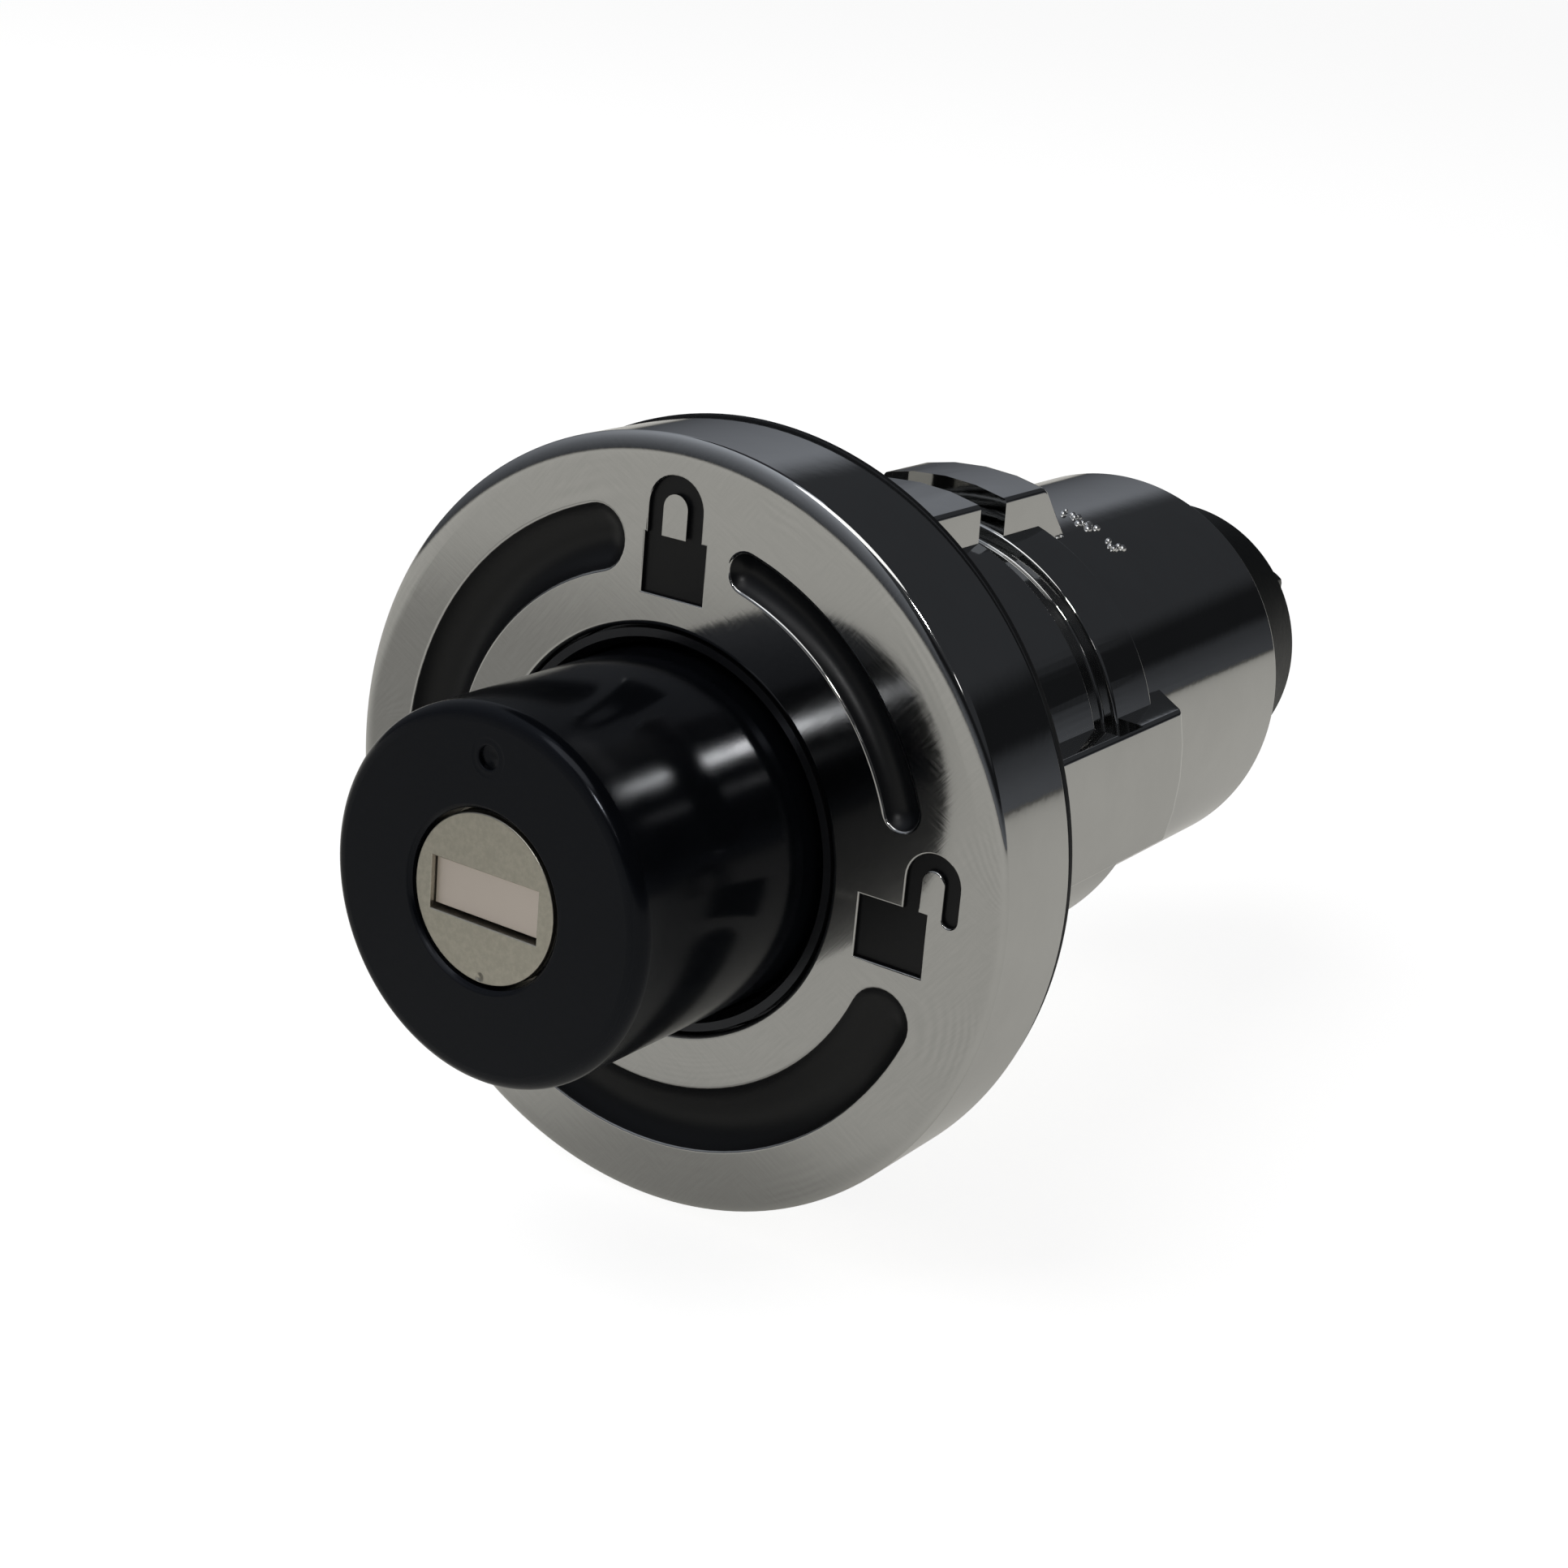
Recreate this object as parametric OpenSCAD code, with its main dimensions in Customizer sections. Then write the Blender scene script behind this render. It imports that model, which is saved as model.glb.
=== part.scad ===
// Pushbutton lock: a key turns the knob a quarter turn, and the knob is then pushed in.
// The lock's axis is Y. The knob faces -Y and the barrel runs back along +Y.
// The origin is the centre of the panel face that the gasket rests on.
// Clock angles are in degrees from 12 o'clock, clockwise for someone facing the knob.

/* [Flange] */
// Radius of the flange
flange_r = 28; // [26:0.1:32]
// Thickness of the flange, front to back
flange_t = 9; // [8:0.1:11]
// Rounding of the flange's front edge
flange_edge_r = 1.1; // [0.5:0.1:2]
// Rounding of the flange's mouth
mouth_edge_r = 0.4; // [0.2:0.1:0.6]

/* [Face grooves] */
// Radius at the middle of the long groove
long_groove_r = 21.05; // [20.5:0.05:21.5]
// Width of the long groove
long_groove_w = 4.9; // [3:0.1:5.5]
// Depth of the long groove
long_groove_depth = 1.3; // [0.6:0.1:2]
// Clock angle where the long groove starts, past the unlocked sign
long_groove_start = 111.5; // [105:0.5:140]
// Clock angle where the long groove ends, before the locked sign
long_groove_end = 341; // [300:1:348]
// Radius at the middle of the short groove
short_groove_r = 20.7; // [20:0.05:22]
// Width of the short groove
short_groove_w = 2.8; // [1.5:0.1:4]
// Depth of the short groove
short_groove_depth = 0.9; // [0.4:0.1:1.5]
// Clock angle where the short groove starts
short_groove_start = 16; // [12:1:30]
// Clock angle where the short groove ends
short_groove_end = 70.5; // [50:0.5:76]

/* [Barrel] */
// Radius of the barrel's front section
front_barrel_r = 18.2; // [18:0.1:18.8]
// Length of the front section behind the panel face
front_barrel_len = 30.1; // [29:0.1:34]
// Radius of the barrel's rear section
rear_barrel_r = 16.75; // [16.6:0.05:17.2]
// Length of the whole barrel behind the panel face
barrel_len = 56.6; // [55:0.1:64]
// Radius of the bore in front of the shoulder
front_bore_r = 13.5; // [13.4:0.05:13.8]
// Radius of the bore behind the shoulder
rear_bore_r = 14.4; // [14.2:0.05:14.7]
// Place of the shoulder that stops the sleeve
shoulder_y = 14; // [13:0.5:16]

/* [Ribs and clip groove] */
// Radius over the top rib
top_rib_r = 20.9; // [19.5:0.1:21.4]
// Radius over the other ribs
side_rib_r = 20.4; // [19.5:0.1:21]
// Width of the top rib
top_rib_w = 11.2; // [8:0.2:13]
// Width of the other ribs
side_rib_w = 10.8; // [7:0.2:11]
// Length of a rib's outer face behind the panel face
rib_len = 31; // [27:0.5:32]
// Length of the slope at a rib's rear end
rib_slope = 3.8; // [2:0.2:5]
// Front wall of the clip groove
clip_groove_y = 21.5; // [20.5:0.1:22.5]
// Width of the clip groove
clip_groove_w = 3.3; // [2:0.1:3.8]
// Depth of the clip groove below the front section
clip_groove_depth = 1.2; // [0.6:0.1:1.5]
// Clock angle at which the clip groove ends on each side
clip_groove_half = 76; // [72:1:80]

/* [Collar and seals] */
// Thickness of the panel gasket
gasket_t = 0.5; // [0.5:0.1:1.5]
// How far the gasket stands out past the flange
gasket_lip = 0.2; // [0:0.1:0.5]
// Radius of the flange's mouth
mouth_r = 14.7; // [14.6:0.05:15.2]
// Depth of the mouth
mouth_depth = 7.9; // [7.5:0.1:8.2]
// How far the collar sits below the flange's face
collar_recess = 0.2; // [0:0.1:0.5]
// Length of the collar
collar_len = 5.2; // [4.5:0.1:5.6]
// Gap between the collar and the knob
collar_gap = 0.4; // [0.3:0.05:0.5]

/* [Knob] */
// Radius of the knob's side
knob_r = 13; // [12.8:0.05:13.2]
// How far the knob stands out of the flange's face
knob_proud = 18.7; // [16:0.1:22]
// Length of the knob
knob_len = 34; // [33:0.5:35]
// How far the knob's front bead stands out of its side
knob_bead = 0.15; // [0.05:0.05:0.15]
// Rounding of the knob's front edge
knob_edge_r = 0.9; // [0.5:0.1:1.2]
// Thickness of the knob's front wall
knob_front_t = 2.8; // [2.4:0.1:3.2]
// Radius of the hole in the knob's front
knob_hole_r = 6; // [5.9:0.05:6.3]
// Distance of the index mark from the axis
index_mark_r = 9.7; // [8.5:0.1:10.5]
// Diameter of the index mark
index_mark_d = 1.7; // [1:0.1:2]
// Depth of the index mark
index_mark_depth = 0.5; // [0.2:0.1:1]

/* [Plug] */
// How far the plug's face sits below the knob's face
plug_recess = 0.8; // [0.4:0.1:1.2]
// Radius of the plug's shoulder inside the knob
plug_shoulder_r = 8; // [7.8:0.1:8.2]
// Thickness of the plug's shoulder
plug_shoulder_t = 1.8; // [1.5:0.1:2.2]
// Radius of the plug's body
plug_r = 6.4; // [6.3:0.05:6.6]
// Radius of the plug's tail
plug_tail_r = 5.6; // [5.4:0.1:6]
// Length of the plug's tail behind the sleeve
plug_tail_len = 11; // [9:0.5:13]
// Width of the keyway
keyway_w = 9; // [8.6:0.1:9.2]
// Height of the keyway at the plug's face
keyway_mouth_h = 3.7; // [3.6:0.1:3.9]
// Height of the keyway behind the shutter
keyway_h = 2.15; // [1.8:0.05:2.2]

/* [Shutter] */
// Thickness of the shutter
shutter_t = 0.8; // [0.7:0.05:0.9]
// Radius of the shutter's knuckle
knuckle_r = 0.75; // [0.7:0.05:0.8]
// Radius of the shutter's pin
shutter_pin_r = 0.38; // [0.3:0.02:0.4]
// Height of the shutter's pin above the axis
shutter_pin_z = 1.55; // [1.5:0.05:1.6]
// Depth of the shutter's pin behind the plug's face
shutter_pin_depth = 1.3; // [1.2:0.05:1.4]

/* [Wafers] */
// Number of wafers is five. Thickness of a wafer
wafer_t = 1.4; // [1.2:0.05:1.5]
// Distance between wafers
wafer_pitch = 3.2; // [2.9:0.1:3.3]
// Depth of the first wafer behind the plug's face
wafer_first = 8; // [8:0.1:9]
// Height of a wafer above and below the axis
wafer_half_h = 3.6; // [3.4:0.05:3.7]
// How far a wafer slides out into the sleeve
wafer_throw = 0.9; // [0.5:0.05:1]

/* [Sleeve] */
// Radius of the sleeve inside the knob
sleeve_r = 10.3; // [10:0.1:10.4]
// Thickness of the sleeve's guide flange
guide_flange_t = 4.5; // [4:0.1:5.5]
// Radius of the sleeve's tail
sleeve_tail_r = 9.5; // [9:0.1:9.7]
// Length of the sleeve's tail
sleeve_tail_len = 3.2; // [3:0.1:4]
// Width of the sleeve's two keys
sleeve_key_w = 4; // [3:0.1:5]
// Height of the sleeve's keys above its guide flange
sleeve_key_h = 0.9; // [0.6:0.05:0.9]
// Radius of the pin that ends the quarter turn
stop_pin_r = 1; // [0.8:0.05:1.1]

/* [Travel] */
// Travel of the button
push_travel = 7; // [4:0.5:8]
// Angle from locked to unlocked
turn_angle = 90; // [60:5:90]

/* [Return spring] */
// Radius of the return spring at the middle of its wire
spring_r = 12; // [11.8:0.1:12.4]
// Radius of the return spring's wire
spring_wire_r = 0.8; // [0.6:0.05:0.9]
// Turns of the return spring
spring_turns = 7; // [5:0.5:8]

/* [End cap and rod] */
// Thickness of the end cap's rim
cap_rim_t = 2.8; // [2:0.1:4]
// Radius of the end cap's rim
cap_rim_r = 15.1; // [14.8:0.1:15.6]
// Radius of the end cap's nose where it starts
cap_nose_r1 = 13.7; // [13:0.1:14.2]
// Radius of the end cap's nose where it ends
cap_nose_r2 = 12.4; // [11.5:0.1:12.9]
// Length of the end cap's nose
cap_nose_len = 10.4; // [8:0.2:14]
// Length of the end cap's spigot inside the barrel
cap_spigot_len = 7.6; // [6:0.2:9]
// Thickness of the end cap's walls
cap_wall = 3; // [2.6:0.1:3.6]
// Radius of the tail rod
rod_r = 3.5; // [3:0.1:4]
// How far the tail rod stands out of the end cap
rod_proud = 19.4; // [10:0.2:30]
// Length of the flats on the tail rod
rod_flat_len = 9; // [4:0.5:12]
// Thickness of the rod bush's flange
bush_flange_t = 1.2; // [0.8:0.1:1.6]
// Width of the rod bush's flange beyond its body
bush_flange_w = 1.4; // [0.8:0.1:1.8]
// Radius of the two spanner holes in the end cap
spanner_hole_r = 1.25; // [0.8:0.05:1.5]
// Depth of the spanner holes
spanner_hole_depth = 2; // [1:0.1:2.5]
// Thickness of the tail rod over its flats
rod_flat_t = 4.6; // [3.6:0.1:6]
// Radius of the cross pin through the plug and the rod
rod_pin_r = 0.9; // [0.7:0.05:1.2]

/* [Clearances] */
// Radial clearance of a turned piece in its bore
run_gap = 0.05; // [0.03:0.01:0.1]
// Gap between two pieces that move past each other
free_gap = 0.3; // [0.2:0.05:0.3]

/* [Hidden] */
$fn = 96;
over = 1;
wafer_count = 5;

// Places along the axis, front to back
flange_back = -gasket_t;
face_y = flange_back - flange_t;
mouth_floor = face_y + mouth_depth;
collar_front = face_y + collar_recess;
collar_back = collar_front + collar_len;
knob_front = face_y - knob_proud;
knob_back = knob_front + knob_len;
plug_front = knob_front + plug_recess;
shoulder_front = knob_front + knob_front_t;
shoulder_back = shoulder_front + plug_shoulder_t;
circlip_t = 0.9;
knob_clip_front = shoulder_back + 0.1;
knob_clip_back = knob_clip_front + circlip_t;
knob_floor = knob_clip_back + free_gap;
sleeve_front = knob_floor + free_gap;
guide_front = shoulder_y + free_gap;
guide_back = guide_front + guide_flange_t;
sleeve_back = guide_back + sleeve_tail_len;
plug_clip_front = sleeve_back + free_gap;
plug_clip_back = plug_clip_front + circlip_t;
plug_back = sleeve_back + plug_tail_len;
rod_front = plug_clip_back + 3;
rod_pin_y = (rod_front + plug_back) / 2 - 0.5;
cap_front = barrel_len - cap_spigot_len;
cap_rim_back = barrel_len + cap_rim_t;
cap_back = cap_rim_back + cap_nose_len;
rod_back = cap_back + rod_proud;

// Radii that follow from others
collar_inner_r = knob_r + collar_gap;
wiper_inner_r = knob_r + knob_bead + 0.1;
knob_inner_r = sleeve_r + free_gap;
knob_clip_r = plug_shoulder_r + 0.9;
ear_r = plug_shoulder_r + 1.5;
ear_w = 3;
sleeve_bore_r = plug_r + run_gap;
guide_r = rear_bore_r - 2 * run_gap;
key_r = guide_r + sleeve_key_h;
key_groove_r = key_r + 0.2;
plug_head_r = knob_hole_r - 0.15;
clip_land_r = plug_tail_r - 0.8;
clip_floor_r = front_barrel_r - clip_groove_depth;
gasket_inner_r = max(top_rib_r, side_rib_r) + free_gap;
bush_r = rod_r + 2;
channel_reach = plug_r + wafer_throw + free_gap;
stop_y = guide_back + sleeve_tail_len / 2;
stop_floor_r = plug_r - 1.2;
stop_clock = 270;
stop_half = asin(stop_pin_r / plug_r) + 2;

// Places in the plug's mouth
keyway_low = -keyway_mouth_h / 2;
shutter_front = plug_front + 0.1;
shutter_coil_r = shutter_pin_r + 0.17;
spring_room_r = shutter_coil_r + 0.24;
shutter_axis_y = plug_front + shutter_pin_depth;
shutter_reach = shutter_pin_z - keyway_low;
shutter_swing_r = sqrt(pow(shutter_reach - 0.08, 2));
shutter_low = shutter_pin_z - sqrt(pow(shutter_swing_r, 2) - pow(shutter_axis_y - shutter_front, 2));
pocket_back = shutter_axis_y + shutter_swing_r + 0.3;
keyway_back = plug_front + wafer_first + wafer_pitch * (wafer_count - 1) + 3;

// Places round a wafer
window_half_w = keyway_w / 2 + 0.3;
notch_low = 2.35;
notch_left = -3.2;
notch_right = 2;
web_left = -2.1;
web_right = -1.2;
wafer_spring_r = 0.42;
wafer_wire_r = 0.1;

function wafer_y(k) = plug_front + wafer_first + wafer_pitch * (k - 1);
function wafer_side(k) = (k % 2 == 1) ? 0 : 1;

// A cylinder along Y from y0 to y1
module turned(y0, y1, r) {
    translate([0, y0, 0]) rotate([-90, 0, 0]) cylinder(h = y1 - y0, r = r);
}

// A tapered cylinder along Y
module tapered(y0, y1, r0, r1) {
    translate([0, y0, 0]) rotate([-90, 0, 0]) cylinder(h = y1 - y0, r1 = r0, r2 = r1);
}

// A whole turn of an outline drawn as radius against Y
module spun() {
    rotate([-90, 0, 0]) rotate_extrude() children();
}

// Part of a turn of an outline, between two clock angles
module swept(c0, c1) {
    rotate([-90, 0, 0]) rotate([0, 0, c0 - 90]) rotate_extrude(angle = c1 - c0) children();
}

// Turns what points to 12 o'clock to another clock angle
module at_clock(c) {
    rotate([0, c, 0]) children();
}

// A round rod along X
module cross_rod(half_len, r, y, z) {
    translate([-half_len, y, z]) rotate([0, 90, 0]) cylinder(h = 2 * half_len, r = r, $fn = 48);
}

// A rectangle in radius and Y, with one rounded corner at its front outer edge
module front_rounded(r0, r1, y0, y1, edge) {
    union() {
        translate([r0, y0 + edge]) square([r1 - r0, y1 - y0 - edge]);
        translate([r0, y0]) square([r1 - edge - r0, edge + 0.01]);
        translate([r1 - edge, y0 + edge]) circle(r = edge);
    }
}

// Half of a groove's section: a flat floor, a slope and a steeper edge
function groove_half(w, depth) = [
    [0, face_y + depth],
    [w * 0.2, face_y + depth * 0.94],
    [w * 0.38, face_y + depth * 0.55],
    [w * 0.5, face_y - 0.01],
    [w * 0.5, face_y - over],
    [0, face_y - over]
];

// Round-ended groove in the flange's face. Its ends are a hair smaller than its length.
module face_groove(r, w, depth, c0, c1) {
    half = groove_half(w, depth);
    swept(c0, c1) translate([r, 0]) polygon(concat(
        [for (i = [0 : 4]) half[i]],
        [for (i = [4 : -1 : 1]) [-half[i][0], half[i][1]]]
    ));
    for (c = [c0, c1]) at_clock(c) translate([0, 0, r]) spun() polygon(groove_half(w - 0.06, depth - 0.03));
}

// Coil along Z from z = 0 to z = len, with closed end faces
module coil(r, wire_r, len, turns, per_turn, sides) {
    rings = round(turns * per_turn);
    points = [
        for (i = [0 : rings], j = [0 : sides - 1])
        let (a = 360 * i / per_turn, b = 360 * j / sides)
        [(r + wire_r * cos(b)) * cos(a),
         (r + wire_r * cos(b)) * sin(a),
         wire_r + (len - 2 * wire_r) * i / rings + wire_r * sin(b)]
    ];
    sides_faces = [
        for (i = [0 : rings - 1], j = [0 : sides - 1])
        let (k = (j + 1) % sides)
        [i * sides + j, i * sides + k, (i + 1) * sides + k, (i + 1) * sides + j]
    ];
    start_face = [for (j = [sides - 1 : -1 : 0]) j];
    end_face = [for (j = [0 : sides - 1]) rings * sides + j];
    polyhedron(points, concat([start_face], sides_faces, [end_face]));
}

// Open ring for a shaft or a bore, with an eye at each end of its gap
module circlip(y, r_in, r_out, clock, gap, eye_r, eye_at) {
    difference() {
        union() {
            swept(clock + gap / 2, clock + 360 - gap / 2) translate([r_in, y]) square([r_out - r_in, circlip_t]);
            for (s = [-1, 1]) at_clock(clock + s * gap / 2) translate([0, 0, eye_at]) turned(y, y + circlip_t, eye_r);
        }
        for (s = [-1, 1])
            at_clock(clock + s * gap / 2) translate([0, 0, eye_at]) turned(y - over, y + circlip_t + over, eye_r / 2);
    }
}

// One outer rib, which fits a notch in the panel, with its sloping rear end
module rib(clock, w, r) {
    slope_foot = rib_len + rib_slope;
    at_clock(clock) intersection() {
        turned(flange_back - 0.5, slope_foot + over, r);
        translate([-w / 2, 0, 0]) rotate([90, 0, 90]) linear_extrude(height = w) polygon([
            [flange_back - 0.5, 15.8],
            [flange_back - 0.5, r + over],
            [rib_len - over * rib_slope / (r - rear_barrel_r), r + over],
            [slope_foot, rear_barrel_r - 0.3],
            [slope_foot, 15.8]
        ]);
    }
}

module housing_outside() {
    spun() front_rounded(0, flange_r, face_y, flange_back, flange_edge_r);
    tapered(flange_back - 0.5, front_barrel_len, front_barrel_r, front_barrel_r);
    turned(front_barrel_len - over, barrel_len - 0.4, rear_barrel_r);
    tapered(barrel_len - 0.4, barrel_len, rear_barrel_r, rear_barrel_r - 0.4);
    rib(0, top_rib_w, top_rib_r);
    for (c = [90, 180, 270]) rib(c, side_rib_w, side_rib_r);
}

module housing() {
    color("gainsboro") difference() {
        housing_outside();
        turned(face_y - over, mouth_floor, mouth_r);
        tapered(face_y - 0.01, face_y + mouth_edge_r, mouth_r + mouth_edge_r + 0.01, mouth_r);
        turned(mouth_floor - over, shoulder_y + over, front_bore_r);
        turned(shoulder_y, barrel_len + over, rear_bore_r);
        for (c = [0, 180]) at_clock(c)
            translate([-sleeve_key_w / 2 - 0.2, shoulder_y, 10])
            cube([sleeve_key_w + 0.4, barrel_len - shoulder_y + over, key_groove_r - 10]);
        swept(-clip_groove_half, clip_groove_half)
            translate([clip_floor_r, clip_groove_y]) square([top_rib_r, clip_groove_w]);
        face_groove(long_groove_r, long_groove_w, long_groove_depth, long_groove_start, long_groove_end);
        face_groove(short_groove_r, short_groove_w, short_groove_depth, short_groove_start, short_groove_end);
    }
}

module panel_gasket() {
    color("black") spun() translate([gasket_inner_r, -gasket_t])
        square([flange_r + gasket_lip - gasket_inner_r, gasket_t]);
}

module bezel_collar() {
    seat_r = mouth_r - run_gap;
    rim_r = mouth_r - 0.2;
    color("dimgray") spun() polygon([
        [collar_inner_r, collar_back],
        [collar_inner_r, collar_front + 0.9],
        [collar_inner_r + 0.5, collar_front],
        [rim_r, collar_front],
        [rim_r, collar_front + 1.5],
        [seat_r, collar_front + 1.5],
        [seat_r, collar_back]
    ]);
}

module wiper_ring() {
    back = mouth_floor;
    lip = (collar_back + mouth_floor) / 2;
    color("black") spun() polygon([
        [wiper_inner_r, lip - 0.3],
        [mouth_r - 0.7, collar_back],
        [mouth_r - run_gap, collar_back],
        [mouth_r - run_gap, back],
        [mouth_r - 0.7, back],
        [wiper_inner_r, lip + 0.3]
    ]);
}

module knob_outline() {
    bead_back = knob_front + 1.8;
    union() {
        front_rounded(knob_hole_r, knob_r + knob_bead, knob_front, bead_back, knob_edge_r);
        polygon([
            [knob_hole_r, bead_back - 0.6],
            [knob_r + knob_bead, bead_back - 0.6],
            [knob_r - 0.08, bead_back + 0.8],
            [knob_r - 0.08, bead_back + 5],
            [knob_r, face_y - 3],
            [knob_r, knob_back - 0.5],
            [knob_r - 0.5, knob_back],
            [knob_hole_r, knob_back]
        ]);
    }
}

module knob() {
    color([0.1, 0.1, 0.11]) difference() {
        spun() knob_outline();
        tapered(knob_front - 0.01, knob_front + 0.3, knob_hole_r + 0.31, knob_hole_r);
        turned(shoulder_front, knob_back + over, plug_shoulder_r + 0.3);
        turned(knob_clip_front - 0.05, knob_clip_back + 0.05, knob_clip_r + 0.1);
        turned(knob_floor, knob_back + over, knob_inner_r);
        for (c = [45, 225]) at_clock(c)
            translate([-ear_w / 2 - 0.1, shoulder_front, 0])
            cube([ear_w + 0.2, knob_back - shoulder_front, ear_r + 0.2]);
        translate([0, 0, index_mark_r]) turned(knob_front - over, knob_front + index_mark_depth, index_mark_d / 2);
    }
}

module knob_circlip() {
    color("silver")
        circlip(knob_clip_front, plug_shoulder_r - 0.5, knob_clip_r, 135, 50, 0.8, plug_shoulder_r - 0.4);
}

module cylinder_sleeve() {
    channel_front = wafer_y(1) - wafer_t / 2 - 0.5;
    channel_back = wafer_y(wafer_count) + wafer_t / 2 + 0.5;
    color("goldenrod") difference() {
        union() {
            turned(sleeve_front, guide_front + over, sleeve_r);
            turned(guide_front, guide_back, guide_r);
            turned(guide_back - over, sleeve_back, sleeve_tail_r);
            for (c = [0, 180]) at_clock(c)
                translate([-sleeve_key_w / 2, guide_front, sleeve_r - over])
                cube([sleeve_key_w, guide_flange_t, key_r - sleeve_r + over]);
        }
        turned(sleeve_front - over, sleeve_back + over, sleeve_bore_r);
        for (turn = [0, turn_angle]) rotate([0, turn, 0])
            translate([-channel_reach, channel_front, -wafer_half_h - 0.3])
                cube([2 * channel_reach, channel_back - channel_front, 2 * wafer_half_h + 0.6]);
        at_clock(stop_clock) translate([0, stop_y, 0]) cylinder(h = sleeve_tail_r + over, r = stop_pin_r + 0.02);
    }
}

module turn_stop_pin() {
    color("silver") at_clock(stop_clock) translate([0, stop_y, stop_floor_r + 0.2])
        cylinder(h = sleeve_tail_r - stop_floor_r - 0.3, r = stop_pin_r);
}

module plug_outline() {
    polygon([
        [0, plug_front],
        [plug_head_r - 0.2, plug_front],
        [plug_head_r, plug_front + 0.2],
        [plug_head_r, shoulder_front],
        [plug_shoulder_r, shoulder_front],
        [plug_shoulder_r, shoulder_back],
        [plug_r, shoulder_back],
        [plug_r, sleeve_back - 0.1],
        [plug_tail_r, sleeve_back - 0.1],
        [plug_tail_r, plug_clip_front - 0.05],
        [clip_land_r, plug_clip_front - 0.05],
        [clip_land_r, plug_clip_back + 0.05],
        [plug_tail_r, plug_clip_back + 0.05],
        [plug_tail_r, plug_back - 0.4],
        [plug_tail_r - 0.4, plug_back],
        [0, plug_back]
    ]);
}

// Slot for one wafer, with the web that its spring pushes against
module wafer_slot(k) {
    slot_t = wafer_t + 0.2;
    slot_half_h = wafer_half_h + 0.15;
    mirror([wafer_side(k), 0, 0]) translate([0, wafer_y(k) - slot_t / 2, 0]) difference() {
        translate([-plug_r - over, 0, -slot_half_h]) cube([2 * (plug_r + over), slot_t, 2 * slot_half_h]);
        translate([web_left, -over, notch_low + 0.1]) cube([web_right - web_left, slot_t + 2 * over, 3]);
    }
}

module plug() {
    pocket_top = shutter_pin_z + knuckle_r + 0.2;
    color([0.78, 0.74, 0.68]) difference() {
        union() {
            spun() plug_outline();
            for (c = [45, 225]) at_clock(c)
                translate([-ear_w / 2, shoulder_front, plug_head_r])
                cube([ear_w, plug_shoulder_t, ear_r - plug_head_r]);
        }
        translate([-keyway_w / 2, plug_front - over, keyway_low])
            cube([keyway_w, pocket_back - plug_front + over, keyway_mouth_h]);
        translate([-keyway_w / 2, shutter_axis_y - knuckle_r - 0.12, 0])
            cube([keyway_w, 2 * knuckle_r + 0.4, pocket_top]);
        translate([-keyway_w / 2, plug_front, keyway_low])
            cube([keyway_w, keyway_back - plug_front, keyway_h]);
        cross_rod(plug_shoulder_r + over, shutter_pin_r + 0.02, shutter_axis_y, shutter_pin_z);
        for (k = [1 : wafer_count]) wafer_slot(k);
        swept(stop_clock - turn_angle - stop_half, stop_clock + stop_half)
            translate([stop_floor_r, stop_y - stop_pin_r - 0.2]) square([3, 2 * stop_pin_r + 0.4]);
        turned(rod_front, plug_back + over, rod_r + run_gap);
        cross_rod(plug_tail_r + over, rod_pin_r + 0.02, rod_pin_y, 0);
    }
}

module plug_circlip() {
    color("silver")
        circlip(plug_clip_front, clip_land_r + 0.05, plug_tail_r + 1.6, 0, 70, 1.1, plug_tail_r + 0.9);
}

module tail_rod() {
    color("darkgray") difference() {
        union() {
            tapered(rod_front + 0.1, rod_front + 0.5, rod_r - 0.4, rod_r);
            turned(rod_front + 0.5, rod_back - 0.6, rod_r);
            tapered(rod_back - 0.6, rod_back, rod_r, rod_r - 0.6);
        }
        cross_rod(rod_r + over, rod_pin_r + 0.02, rod_pin_y, 0);
        for (c = [90, 270]) at_clock(c)
            translate([-rod_r - over, rod_back - rod_flat_len, rod_flat_t / 2])
            cube([2 * (rod_r + over), rod_flat_len + over, rod_r]);
    }
}

module rod_pin() {
    color("silver") cross_rod(plug_tail_r - 0.2, rod_pin_r, rod_pin_y, 0);
}

module end_cap() {
    hollow_r = rear_bore_r - cap_wall - 0.6;
    color([0.16, 0.17, 0.16]) difference() {
        union() {
            turned(cap_front, barrel_len + over, rear_bore_r - run_gap);
            spun() polygon([
                [0, barrel_len],
                [cap_rim_r, barrel_len],
                [cap_rim_r, cap_rim_back - 1],
                [cap_rim_r - 0.6, cap_rim_back],
                [cap_nose_r1, cap_rim_back],
                [cap_nose_r2, cap_back - 1.2],
                [cap_nose_r2 - 0.4, cap_back - 0.4],
                [cap_nose_r2 - 1.4, cap_back],
                [0, cap_back]
            ]);
        }
        difference() {
            turned(cap_front - over, cap_back - cap_wall, hollow_r);
            turned(cap_rim_back, cap_back, bush_r + 2);
        }
        turned(cap_rim_back - over, cap_back + over, bush_r + 0.02);
        for (c = [90, 270]) at_clock(c)
            translate([0, 0, (bush_r + cap_nose_r2) / 2 + 0.6])
            turned(cap_back - spanner_hole_depth, cap_back + over, spanner_hole_r);
    }
}

module rod_bush() {
    color("peru") difference() {
        union() {
            turned(cap_rim_back - bush_flange_t, cap_back - 0.1, bush_r);
            turned(cap_rim_back - bush_flange_t, cap_rim_back - 0.02, bush_r + bush_flange_w);
        }
        turned(cap_rim_back - 2, cap_back + over, rod_r + run_gap);
    }
}

module return_spring() {
    color("silver") translate([0, guide_back + 0.02, 0]) rotate([-90, 0, 0])
        coil(spring_r, spring_wire_r, cap_front - guide_back - 0.04, spring_turns, 20, 8);
}

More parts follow.
